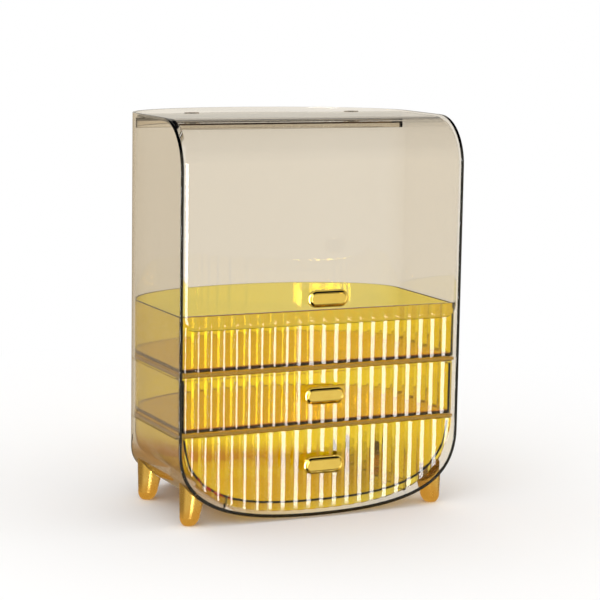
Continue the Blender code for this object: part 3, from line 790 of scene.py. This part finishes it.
# %% [markdown]
# ## Handles
# Each handle is a pill-shaped plate on a stem. A bevel runs round the plate up to a thin crest,
# and the face inside the crest is sunk a little. Rings of pills, one for each change of the
# section, give all of it, and a Bevel modifier softens the edges as plating does.

# %% Pill rings
PILL_STEPS = 20
HANDLE_LENGTH = 43 * MM
HANDLE_HEIGHT = 17 * MM
HANDLE_PLATE = 4.2 * MM
HANDLE_BACK_INSET = 1.5 * MM
HANDLE_SOFT = 0.2 * MM
STEM = (32 * MM, 10 * MM)
STEM_FLARE = 1.2 * MM
# Where the stem starts and ends its flare, counted back from the plate
STEM_NECK = (2.0 * MM, 0.6 * MM)
# (inset from the plate's outline, distance behind its crest) of each ring, in millimetres
HANDLE_RINGS = (
    (0.6, 4.2), (0.0, 3.7), (0.0, 2.2), (0.15, 2.0), (1.1, 1.75), (1.3, 1.6),
    (2.5, 0.35), (2.8, 0.05), (3.05, 0.0), (3.3, 0.15), (3.5, 0.5), (3.9, 0.6),
)


def pill(length, height, z, y):
    radius = height / 2
    reach = length / 2 - radius
    ring = []
    for side, start in ((1, -math.pi / 2), (-1, math.pi / 2)):
        for a in arc(PILL_STEPS, start, start + math.pi):
            ring.append((side * reach + radius * math.cos(a), y, z + radius * math.sin(a)))
    return ring


def plate_pill(inset, z, y):
    return pill(HANDLE_LENGTH - 2 * inset, HANDLE_HEIGHT - 2 * inset, z, y)


print("points round a pill:", len(pill(*STEM, 0, 0)))


# %% The three handles
def make_handle(node):
    low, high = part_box(node)
    z = (low.z + high.z) / 2
    front, base = low.y, high.y
    back = front + HANDLE_PLATE
    rings = [
        pill(*STEM, z, base),
        pill(*STEM, z, back + STEM_NECK[0]),
        pill(STEM[0] + STEM_FLARE, STEM[1] + STEM_FLARE, z, back + STEM_NECK[1]),
        plate_pill(HANDLE_BACK_INSET, z, back),
    ]
    rings += [plate_pill(inset * MM, z, front + y * MM) for inset, y in HANDLE_RINGS]
    handle = loft(f"{node}_pill", rings)
    soft = handle.modifiers.new("soft edges", "BEVEL")
    soft.width = HANDLE_SOFT
    soft.segments = 2
    soft.limit_method = "ANGLE"
    soft.angle_limit = SHARP_ANGLE
    return handle


MOVING = ("cover", "middle_drawer", "lower_drawer")
handles = {name: make_handle(f"{name}_handle") for name in MOVING}
print("handles:", len(handles))

# %% [markdown]
# ## Screws
# Two pan-head screws come through each front from inside and hold the handle. Through the clear
# plastic their heads show as small bright discs with a cross recess. A thread could be a true
# spiral, but rings that are wide and narrow by turns look the same here and stay a clean solid.

# %% Screws
SCREW_RADIUS = 1.3 * MM
SCREW_STEPS = 28
TIP_DRAW_IN = 0.4 * MM
THREAD_PITCH = 0.5 * MM
THREAD_DEPTH = 0.25 * MM
THREAD_STOP = 0.6 * MM
NECK_DRAW_IN = 0.2 * MM
HEAD_RADIUS = 2.7 * MM
HEAD_HEIGHT = 1.8 * MM
DOME_HEIGHT = 0.9 * MM
DOME_DRAW_IN = 1.0 * MM
DOME_STEPS = 5
CROSS_WIDTH = 0.7 * MM
CROSS_REACH = 1.6 * MM
CROSS_DEPTH = 1.0 * MM


def disc_ring(x, z, radius, y):
    return [(x + radius * math.cos(a), y, z + radius * math.sin(a))
            for a in arc(SCREW_STEPS, 0, 2 * math.pi)[:-1]]


def cut_cross(screw, x, z, top):
    for long, wide in ((CROSS_REACH, CROSS_WIDTH / 2), (CROSS_WIDTH / 2, CROSS_REACH)):
        corners = ((-long, -wide), (long, -wide), (long, wide), (-long, wide))
        rings = [[(x + dx, y, z + dz) for dx, dz in corners]
                 for y in (top - CROSS_DEPTH, top + OVERRUN)]
        combine(screw, loft("slot", rings), "DIFFERENCE")
    return screw


def make_screw(node):
    low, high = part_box(node)
    x, z = (low.x + high.x) / 2, (low.z + high.z) / 2
    under = high.y - HEAD_HEIGHT
    rings = [disc_ring(x, z, SCREW_RADIUS - TIP_DRAW_IN, low.y)]
    y = low.y + THREAD_PITCH
    while y < under - THREAD_STOP:
        rings.append(disc_ring(x, z, SCREW_RADIUS - THREAD_DEPTH, y))
        rings.append(disc_ring(x, z, SCREW_RADIUS, y + THREAD_PITCH / 2))
        y += THREAD_PITCH
    rings.append(disc_ring(x, z, SCREW_RADIUS - NECK_DRAW_IN, under))
    rings.append(disc_ring(x, z, HEAD_RADIUS, under))
    for a in arc(DOME_STEPS):
        radius = HEAD_RADIUS - DOME_DRAW_IN * (1 - math.cos(a))
        rings.append(disc_ring(x, z, radius, high.y - DOME_HEIGHT + DOME_HEIGHT * math.sin(a)))
    return cut_cross(loft(f"{node}_pan_head", rings), x, z, high.y)


screws = {
    f"{name}_screw_{side}": make_screw(f"{name}_screw_{side}")
    for name in MOVING
    for side in ("left", "right")
}
print("screws:", len(screws))

# %% [markdown]
# ## Feet
# A foot is a slim cone with a round tip, leaning outward, and its top is cut to the casing's curve
# so that it sits close under it. A peg goes up through the casing's floor. Turning an upright cone
# would lift one side of its tip, so its level rings are shifted sideways as they go up instead.

# %% Feet
FOOT_LEAN = 0.125
FOOT_TOP_RADIUS = 14.8 * MM
FOOT_ROUND_RADIUS = 9.9 * MM
FOOT_ROUND_HEIGHT = 10.5 * MM
FOOT_ROUND_STEPS = 12
FOOT_REST_RADIUS = 3.0 * MM
FOOT_TAPER_HEIGHT = 45 * MM
FOOT_X = HALF_WIDTH - 18 * MM
FOOT_STEPS = 48
SADDLE_STEPS = 60
PEG_RADIUS = 3 * MM
PEG_LENGTH = 8 * MM


def foot_ring(side, y, z, radius):
    x = side * (FOOT_X - FOOT_LEAN * z)
    return [(x + radius * math.cos(a), y + radius * math.sin(a), z)
            for a in arc(FOOT_STEPS, 0, 2 * math.pi)[:-1]]


def make_saddle():
    """All that lies above the casing's outer curve, less a gap: what a foot's top is cut with."""
    arch = casing_arch(-SEAT_GAP)
    right = [arch.at(i / SADDLE_STEPS) for i in range(SADDLE_STEPS + 1)]
    right.append(Vector((arch.at(1).x, HEIGHT)))
    outline = [Vector((-p.x, p.y)) for p in reversed(right[1:])] + right
    ends = (FRONT - OVERRUN, casing_high.y)
    return loft("saddle", [[(p.x, y, p.y) for p in outline] for y in ends])


def make_foot(node):
    low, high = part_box(node)
    side = -1 if high.x < 0 else 1
    y = (low.y + high.y) / 2
    top = casing_arch(0).z_at(FOOT_X + FOOT_TOP_RADIUS) + OVERRUN
    rings = []
    for a in arc(FOOT_ROUND_STEPS):
        radius = FOOT_REST_RADIUS + (FOOT_ROUND_RADIUS - FOOT_REST_RADIUS) * math.sin(a)
        rings.append(foot_ring(side, y, FOOT_ROUND_HEIGHT * (1 - math.cos(a)), radius))
    slope = (FOOT_TOP_RADIUS - FOOT_ROUND_RADIUS) / (FOOT_TAPER_HEIGHT - FOOT_ROUND_HEIGHT)
    rings.append(foot_ring(side, y, top, FOOT_ROUND_RADIUS + slope * (top - FOOT_ROUND_HEIGHT)))
    foot = combine(loft(f"{node}_plated", rings), make_saddle(), "DIFFERENCE")
    peg_end = casing_arch(WALL).z_at(FOOT_X - FOOT_LEAN * high.z) - SEAT_GAP
    ends = (peg_end - PEG_LENGTH, peg_end)
    return combine(foot, loft("peg", [foot_ring(side, y, z, PEG_RADIUS) for z in ends]), "UNION")


feet = {
    node: make_foot(node)
    for node in ("foot_front_left", "foot_front_right", "foot_rear_left", "foot_rear_right")
}
print("feet:", len(feet))

# %% [markdown]
# ## Nodes for finishes
# A finish is a small tree of shader nodes. One helper adds a node and sets or links its inputs,
# which keeps each finish short enough to read. Colours are written as the hex values that a
# designer picks, and one function turns them into the linear values that light works with.

# %% Colour and node helpers
WHITE = (1, 1, 1, 1)
COLOUR_MIX = {"data_type": "RGBA"}
SMOOTH = {"interpolation_type": "SMOOTHSTEP"}


def linear(code):
    """A hex colour as linear light, with an alpha of 1. The numbers are those of sRGB."""
    parts = [int(code[i:i + 2], 16) / 255 for i in (0, 2, 4)]
    light = [c / 12.92 if c <= 0.04045 else ((c + 0.055) / 1.055) ** 2.4 for c in parts]
    return (*light, 1)


def add(tree, kind, inputs=None, **settings):
    """A shader node with its settings; inputs are set, or linked where they are sockets."""
    node = tree.nodes.new(f"ShaderNode{kind}")
    for name, value in settings.items():
        setattr(node, name, value)
    for name, value in (inputs or {}).items():
        if isinstance(value, bpy.types.NodeSocket):
            tree.links.new(value, node.inputs[name])
        else:
            node.inputs[name].default_value = value
    return node


def new_finish(name):
    material = bpy.data.materials.new(name)
    material.use_nodes = True
    material.node_tree.nodes.clear()
    return material, material.node_tree


def give(thing, material):
    thing.data.materials.clear()
    thing.data.materials.append(material)


print("mid grey 808080 sends back this share of light:", round(linear("808080")[0], 3))

# %% [markdown]
# ## Clear acrylic
# The casing and the drawers are injection-moulded acrylic, polished in the mould. Light bends
# at both faces, and the dye inside takes its share of each colour along the way, so a thin wall
# looks pale and an edge, which light travels along, looks nearly black. A tint painted on the
# surface would miss that. The finish is a refracting surface round a dye that absorbs, and the dye
# is worked out from the colour that one wall lets through.

# %% The dye
FAINTEST = 0.001
FULL_LOSS = 0.98    # keeps the colour that the dye takes most of a little above zero


def dye(code, thickness):
    """The absorption colour and density with which a wall this thick lets a colour through."""
    loss = [-math.log(max(c, FAINTEST)) / thickness for c in linear(code)[:3]]
    density = max(loss) / FULL_LOSS
    return [1 - each / density for each in loss] + [1], density


SMOKY = "EEE8DD"
AMBER = "FEF288"
print("smoky dye:", dye(SMOKY, WALL), "amber dye:", dye(AMBER, TUB_WALL))

# %% A finish for clear plastic
ACRYLIC_IOR = 1.49
SHADOW_TINT = (0.93, 0.93, 0.93, 1)
WAVE_SIZE = 45 * MM      # a moulded wall shrinks unevenly, in slow waves of this length
WAVE_HEIGHT = 0.006 * MM
TOUCH_SIZE = 14 * MM     # a fingertip's width, for the faint smears of handling
TOUCH_RANGE = (0.35, 0.75)
TOUCH_ROUGHNESS = (0.0, 0.03)


def clear_acrylic(name, code, thickness, clearness=1.0, body_code="FFFFFF"):
    """Moulded acrylic: glassy, with slow waves that bend what shows through it."""
    material, tree = new_finish(name)
    place = add(tree, "TexCoord").outputs["Object"]
    waves = add(tree, "TexNoise", {"Vector": place, "Scale": 1 / WAVE_SIZE, "Detail": 1.0})
    touch = add(tree, "TexNoise", {"Vector": place, "Scale": 1 / TOUCH_SIZE, "Detail": 4.0})
    haze = add(tree, "MapRange", {
        "Value": touch.outputs["Fac"], "From Min": TOUCH_RANGE[0], "From Max": TOUCH_RANGE[1],
        "To Min": TOUCH_ROUGHNESS[0], "To Max": TOUCH_ROUGHNESS[1]})
    bump = add(tree, "Bump", {
        "Height": waves.outputs["Fac"], "Strength": 1.0, "Distance": WAVE_HEIGHT})
    body = add(tree, "BsdfPrincipled", {
        "Base Color": linear(body_code), "IOR": ACRYLIC_IOR, "Transmission Weight": clearness,
        "Roughness": haze.outputs["Result"], "Normal": bump.outputs["Normal"]})
    # Shadow rays pass straight through with a slight loss, so the box throws a pale shadow.
    through = add(tree, "BsdfTransparent", {"Color": SHADOW_TINT})
    ray = add(tree, "LightPath")
    both = add(tree, "MixShader", {
        0: ray.outputs["Is Shadow Ray"], 1: body.outputs[0], 2: through.outputs[0]})
    colour, density = dye(code, thickness)
    inside = add(tree, "VolumeAbsorption", {"Color": colour, "Density": density})
    add(tree, "OutputMaterial", {"Surface": both.outputs[0], "Volume": inside.outputs[0]})
    return material


# A shelf is seen along its plane, where a full dye would look black. Its dye is thin, and a part
# of its colour lies on the surface, which shows its front edge as a bright amber line.
PLATE_AMBER = "FFDC62"
PLATE_CLEARNESS = 0.8
PLATE_DYE_DEPTH = 60 * MM
# A thin grey-brown dye: walls that look nearly colourless, with dark edges.
smoky = clear_acrylic("moulded_smoky_acrylic", SMOKY, WALL)
# A strong yellow dye: honey-coloured walls that grow deeper where several lie behind each other.
amber = clear_acrylic("moulded_amber_acrylic", AMBER, TUB_WALL)
amber_plate = clear_acrylic("moulded_amber_acrylic_plate", AMBER, PLATE_DYE_DEPTH,
                            PLATE_CLEARNESS, PLATE_AMBER)
for piece in (casing, cap, cover):
    give(piece, smoky)
for piece in (tray, middle_drawer, lower_drawer):
    give(piece, amber)
for piece in (lower_shelf, upper_shelf):
    give(piece, amber_plate)
print("clear finishes:", smoky.name, amber.name, amber_plate.name)

# %% [markdown]
# ## Plated gold and steel
# Handles and feet are ABS with a vacuum-plated gold film: a metal, so its colour is in its
# reflection, and the moulding under it gives a faint ripple. The screws and pins are steel.

# %% Finishes for metal
CLOUD_SIZE = 9 * MM      # the film's real ripple is too fine to show here, so it is drawn coarser
CLOUD_RANGE = (0.3, 0.7)
RIPPLE_HEIGHT = 0.01 * MM


def plated_metal(name, code, deep, roughness, metallic=1.0):
    """A plated film that is cloudy between two colours, two roughnesses and two heights."""
    material, tree = new_finish(name)
    place = add(tree, "TexCoord").outputs["Object"]
    cloud = add(tree, "TexNoise", {"Vector": place, "Scale": 1 / CLOUD_SIZE, "Detail": 3.0})
    cloud = cloud.outputs["Fac"]
    tint = add(tree, "Mix", {0: cloud, 6: linear(code), 7: linear(deep)}, **COLOUR_MIX)
    haze = add(tree, "MapRange", {
        "Value": cloud, "From Min": CLOUD_RANGE[0], "From Max": CLOUD_RANGE[1],
        "To Min": roughness[0], "To Max": roughness[1]})
    bump = add(tree, "Bump", {"Height": cloud, "Strength": 1.0, "Distance": RIPPLE_HEIGHT})
    body = add(tree, "BsdfPrincipled", {
        "Base Color": tint.outputs[2], "Metallic": metallic, "Roughness": haze.outputs["Result"],
        "Normal": bump.outputs["Normal"]})
    add(tree, "OutputMaterial", {"Surface": body.outputs[0]})
    return material


# Bright plating on a polished moulding: a clear mirror with crisp light and dark rings.
gold = plated_metal("vacuum_plated_gold", "F6DC78", "EFCF66", (0.05, 0.10))
# The same film under a satin lacquer: broad soft bands along the foot.
satin_gold = plated_metal("satin_plated_gold", "E4C06A", "D6AC50", (0.22, 0.30), metallic=0.95)
# Zinc on steel: a cool grey that shows as a soft bright spot through the plastic.
steel = plated_metal("zinc_plated_steel", "C4C6C8", "A9ABAD", (0.2, 0.35))
for piece in handles.values():
    give(piece, gold)
for piece in feet.values():
    give(piece, satin_gold)
for piece in screws.values():
    give(piece, steel)
for node in ("hinge_pin_left", "hinge_pin_right"):
    give(frame["nodes"][node], steel)
print("metals:", gold.name, satin_gold.name, steel.name)

# %% [markdown]
# ## Hang each piece on its body
# The measured model knows how the cover turns and the drawers slide. Each fine piece rides on the
# body that it belongs to and takes the place of its solid.

# %% Ride and replace
def even_normals(piece):
    """Lets the large flat faces rule the shading, so that a narrow rounded edge can't bend it."""
    weigh = piece.modifiers.new("weigh", "WEIGHTED_NORMAL")
    weigh.mode = "FACE_AREA"
    weigh.keep_sharp = True
    keep_result(piece)


def seat(piece, body, slot, *nodes):
    even_normals(piece)
    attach(piece, body)
    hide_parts(*nodes)
    print(piece.name, "rides on", body)


seat(casing, "casing", "smoky_acrylic", "casing_shell")
seat(lower_shelf, "casing", "amber_acrylic", "lower_shelf")
seat(upper_shelf, "casing", "amber_acrylic", "upper_shelf")
seat(cap, "casing", "clear_acrylic", "rear_top_cap")
seat(tray, "casing", "amber_acrylic", "top_tray")
seat(cover, "cover", "clear_acrylic", "flip_cover")
seat(middle_drawer, "middle_drawer", "amber_acrylic", "middle_drawer")
seat(lower_drawer, "lower_drawer", "amber_acrylic", "lower_drawer")
for name, piece in handles.items():
    seat(piece, name, "plated_gold", f"{name}_handle")
for node, piece in screws.items():
    seat(piece, node.split("_screw_")[0], "screw_steel", node)
for node, piece in feet.items():
    seat(piece, "casing", "plated_gold", node)

# %% [markdown]
# ## Camera
# The camera stands where the photograph was taken from: to the left of the box, a little above its
# top, with a long lens. Its place and turn were worked out from the box's edges, because a camera
# set by eye would bend every comparison with the photograph.

# %% Camera
CAMERA_PLACE = Vector((-861.4 * MM, FRONT - 1786.6 * MM, 507.5 * MM))
CAMERA_TURN = math.radians(25.05)
CAMERA_DIP = math.radians(8.39)
CAMERA_ROLL = math.radians(0.94)
LENS_MM = 124.64


def place_camera():
    data = bpy.data.cameras.new("camera")
    data.lens = LENS_MM
    camera = bpy.data.objects.new("camera", data)
    bpy.context.scene.collection.objects.link(camera)
    ahead = Vector((math.sin(CAMERA_TURN) * math.cos(CAMERA_DIP),
                    math.cos(CAMERA_TURN) * math.cos(CAMERA_DIP), -math.sin(CAMERA_DIP)))
    right = Vector((math.cos(CAMERA_TURN), -math.sin(CAMERA_TURN), 0))
    up = right.cross(ahead)
    c, s = math.cos(CAMERA_ROLL), math.sin(CAMERA_ROLL)
    level, upright = c * right + s * up, c * up - s * right
    turn = Matrix((level, upright, -ahead)).transposed().to_4x4()
    camera.matrix_world = Matrix.Translation(CAMERA_PLACE) @ turn
    bpy.context.scene.camera = camera
    return camera


camera = place_camera()
print("camera:", [round(v, 3) for v in camera.location])

# %% [markdown]
# ## Floor
# Clear plastic shows what lies around it, so the room matters as much as the finish. A plain white
# floor would fill the amber drawers with grey. This one is matt paper near the box, where it keeps
# a soft shadow, and plain white further out. Light that has passed through the plastic sees a warm
# shade on it under the box, as it would under a full drawer, and mirrored light sees a painted
# warm tone on it, a painted reflection of that shade.

# %% What light sees of the floor through plastic
SHADE = "C4964E"
SHADE_PLACE = (-0.05, 0.10, 0)    # the oval's middle, in metres
SHADE_SHRINK = (4.4, 4.8, 1)      # 1 / radius along each axis
SHADE_EDGE = (0.5, 1.0)


def shaded_white(tree, place):
    """White, with the warm shade in a soft-edged oval under the box."""
    spot = add(tree, "VectorMath", {0: place, 1: SHADE_PLACE}, operation="SUBTRACT")
    spot = add(tree, "VectorMath", {0: spot.outputs[0], 1: SHADE_SHRINK}, operation="MULTIPLY")
    reach = add(tree, "VectorMath", {0: spot.outputs[0]}, operation="LENGTH")
    clear = add(tree, "MapRange", {"Value": reach.outputs["Value"], "From Min": SHADE_EDGE[0],
                                   "From Max": SHADE_EDGE[1]}, **SMOOTH)
    share = clear.outputs["Result"]
    return add(tree, "Mix", {0: share, 6: linear(SHADE), 7: WHITE}, **COLOUR_MIX).outputs[2]


# %% Where the floor lets light pass
PASS_REACH = (0.03, 0.06)
PASS_FRONT = (-0.2, -0.6)


def opening(tree, place, ray, mirrored):
    """1 where light passes the floor, so that ribs mirror the part of the window below it.

    Mirrored light does from 3 to 6 cm on, and the feet still mirror the paper beside them. Light
    inside the plastic does in front of the box, once a reflection has sent it back there."""
    through = ray.outputs["Is Transmission Ray"]
    ahead = add(tree, "SeparateXYZ", {0: place})
    near = add(tree, "MapRange", {"Value": ahead.outputs["Y"], "From Min": PASS_FRONT[0],
                                  "From Max": PASS_FRONT[1]}, **SMOOTH)
    near = add(tree, "Math", {0: near.outputs["Result"], 1: through}, operation="MULTIPLY")
    sent_back = add(tree, "Math", {0: ray.outputs["Glossy Depth"], 1: 0.5},
                    operation="GREATER_THAN")
    near = add(tree, "Math", {0: near.outputs[0], 1: sent_back.outputs[0]}, operation="MULTIPLY")
    far = add(tree, "MapRange", {"Value": ray.outputs["Ray Length"], "From Min": PASS_REACH[0],
                                 "From Max": PASS_REACH[1]})
    gone = add(tree, "Math", {0: mirrored, 1: far.outputs["Result"]}, operation="MULTIPLY")
    return add(tree, "Math", {0: gone.outputs[0], 1: near.outputs[0]},
               operation="MAXIMUM").outputs[0]


# %% Floor
FLOOR_RADIUS = 6.0
PAPER = "FAF9F8"
PAPER_FADE = (0.3, 0.9)
# A painted reflection: mirrored light sees the floor in this warm tone instead of the white paper,
# so the feet and plating reflect a painted warm shade.
PAINTED_FLOOR_REFLECTION = "DFBE86"    # what mirrored light sees of the floor


def paper_finish():
    material, tree = new_finish("matt_white_paper")
    place = add(tree, "TexCoord").outputs["Object"]
    ray = add(tree, "LightPath")
    through, glossy = ray.outputs["Is Transmission Ray"], ray.outputs["Is Glossy Ray"]
    mirrored = add(tree, "Math", {0: glossy, 1: through}, operation="SUBTRACT").outputs[0]
    # Mirrored light gets the painted warm floor tone, a painted reflection; every other ray gets
    # white.
    plain = add(tree, "Mix", {0: glossy, 6: WHITE, 7: linear(PAINTED_FLOOR_REFLECTION)}, **COLOUR_MIX)
    tone = add(tree, "Mix", {0: through, 6: plain.outputs[2], 7: shaded_white(tree, place)},
               **COLOUR_MIX)
    white = add(tree, "Emission", {"Color": tone.outputs[2], "Strength": 1.0})
    paper = add(tree, "BsdfDiffuse", {"Color": linear(PAPER)})
    away = add(tree, "VectorMath", {0: place}, operation="LENGTH")
    fade = add(tree, "MapRange", {"Value": away.outputs["Value"], "From Min": PAPER_FADE[0],
                                  "From Max": PAPER_FADE[1]})
    share = add(tree, "Math", {0: ray.outputs["Is Camera Ray"], 1: fade.outputs["Result"]},
                operation="MULTIPLY")
    share = add(tree, "Math", {0: share.outputs[0], 1: through}, operation="MAXIMUM")
    share = add(tree, "Math", {0: share.outputs[0], 1: mirrored}, operation="MAXIMUM")
    both = add(tree, "MixShader", {0: share.outputs[0], 1: paper.outputs[0], 2: white.outputs[0]})
    clear = add(tree, "BsdfTransparent")
    whole = add(tree, "MixShader", {0: opening(tree, place, ray, mirrored), 1: both.outputs[0],
                                    2: clear.outputs[0]})
    add(tree, "OutputMaterial", {"Surface": whole.outputs[0]})
    return material


def make_floor():
    bm = bmesh.new()
    bmesh.ops.create_circle(bm, cap_ends=True, radius=FLOOR_RADIUS, segments=96)
    floor = finish_mesh("floor", bm)
    give(floor, paper_finish())
    return floor


floor = make_floor()
print("floor, m across:", round(floor.dimensions.x, 1))

# %% [markdown]
# ## Room and lamps
# The room is white to the camera. Mirrored light sees a pale far wall, a warm front, a dark
# ceiling and dark ground, which gives the plating and the edges their contrast. Light that has
# passed through plastic sees white behind the box and a dark ceiling, so a rounded edge shows as a
# dark line. A tall window at the left front, which only reflections see, draws the white lines on
# the ribs and on the cover's bevels. It has two panes, because only its lower part may show
# through the walls. One soft lamp from the left gives the shadow its side.

# %% Room
CEILING = "20242D"
GROUND = "1C1712"
FAR_SIDE = "A08F74"
FAR_WALL = "E2DCD0"
ROOM_FRONT = "EEE4CF"
# (axis of the direction, where the change starts, where it is complete, colour). Y is -1 straight
# to the front, and Z is 1 straight up.
MIRRORED_BANDS = (
    ("Z", 0.03, -0.08, FAR_SIDE),
    ("Y", 0.35, -0.25, ROOM_FRONT),
    ("Z", 0.42, 0.72, CEILING),
    ("Z", -0.42, -0.72, GROUND),
)
PASSED_BANDS = (("Y", -0.1, -0.5, ROOM_FRONT), ("Z", 0.20, 0.40, CEILING))


def banded(tree, colour, steps):
    """A colour that changes to another one along an axis of the room, once for each step."""
    parts = add(tree, "SeparateXYZ", {0: add(tree, "TexCoord").outputs["Generated"]})
    for axis, start, end, code in steps:
        share = add(tree, "MapRange", {"Value": parts.outputs[axis], "From Min": start,
                                       "From Max": end}, **SMOOTH)
        mixed = add(tree, "Mix", {0: share.outputs["Result"], 6: colour, 7: linear(code)},
                    **COLOUR_MIX)
        colour = mixed.outputs[2]
    return colour


def white_room():
    world = bpy.data.worlds.new("white_room")
    bpy.context.scene.world = world
    world.use_nodes = True
    tree = world.node_tree
    tree.nodes.clear()
    ray = add(tree, "LightPath")
    mirrored = banded(tree, linear(FAR_WALL), MIRRORED_BANDS)
    passed = banded(tree, WHITE, PASSED_BANDS)
    tone = add(tree, "Mix", {0: ray.outputs["Is Glossy Ray"], 6: WHITE, 7: mirrored},
               **COLOUR_MIX)
    tone = add(tree, "Mix", {0: ray.outputs["Is Transmission Ray"], 6: tone.outputs[2],
                             7: passed}, **COLOUR_MIX)
    whole = add(tree, "Background", {"Color": tone.outputs[2], "Strength": 1.0})
    add(tree, "OutputWorld", {"Surface": whole.outputs[0]})
    return world


print("room:", white_room().name)

# %% Lamps
WINDOW_TURN = math.radians(17)
WINDOW_REACH = 1.7
WINDOW_WIDTH = 0.66
WINDOW_POWER = 29    # watts for each metre of height
WINDOW_PANES = (("lower_pane", -0.70, -0.07), ("upper_pane", -0.07, 0.80))
KEY_PLACE = (-1.2, -1.2, 1.6)
KEY_SIZE = (1.2, 1.2)
KEY_POWER = 7


def soft_lamp(name, place, aim, size, power, only_reflections=False):
    data = bpy.data.lights.new(name, "AREA")
    data.shape = "RECTANGLE"
    data.size, data.size_y = size
    data.energy = power
    lamp = bpy.data.objects.new(name, data)
    bpy.context.scene.collection.objects.link(lamp)
    place, aim = Vector(place), Vector(aim)
    turn = (aim - place).to_track_quat("-Z", "Y").to_matrix().to_4x4()
    lamp.matrix_world = Matrix.Translation(place) @ turn
    lamp.visible_camera = False
    lamp.visible_diffuse = not only_reflections
    return lamp


window_place = Vector((-WINDOW_REACH * math.sin(WINDOW_TURN),
                       FRONT - WINDOW_REACH * math.cos(WINDOW_TURN)))
for pane, low, high in WINDOW_PANES:
    height = (low + high) / 2
    lamp = soft_lamp(pane, (*window_place, height), (0, FRONT, height),
                     (WINDOW_WIDTH, high - low), WINDOW_POWER * (high - low),
                     only_reflections=True)
    lamp.visible_transmission = pane == "lower_pane"
soft_lamp("key", KEY_PLACE, (0, 0, HEIGHT / 2), KEY_SIZE, KEY_POWER)
bpy.context.scene.view_settings.view_transform = "Standard"
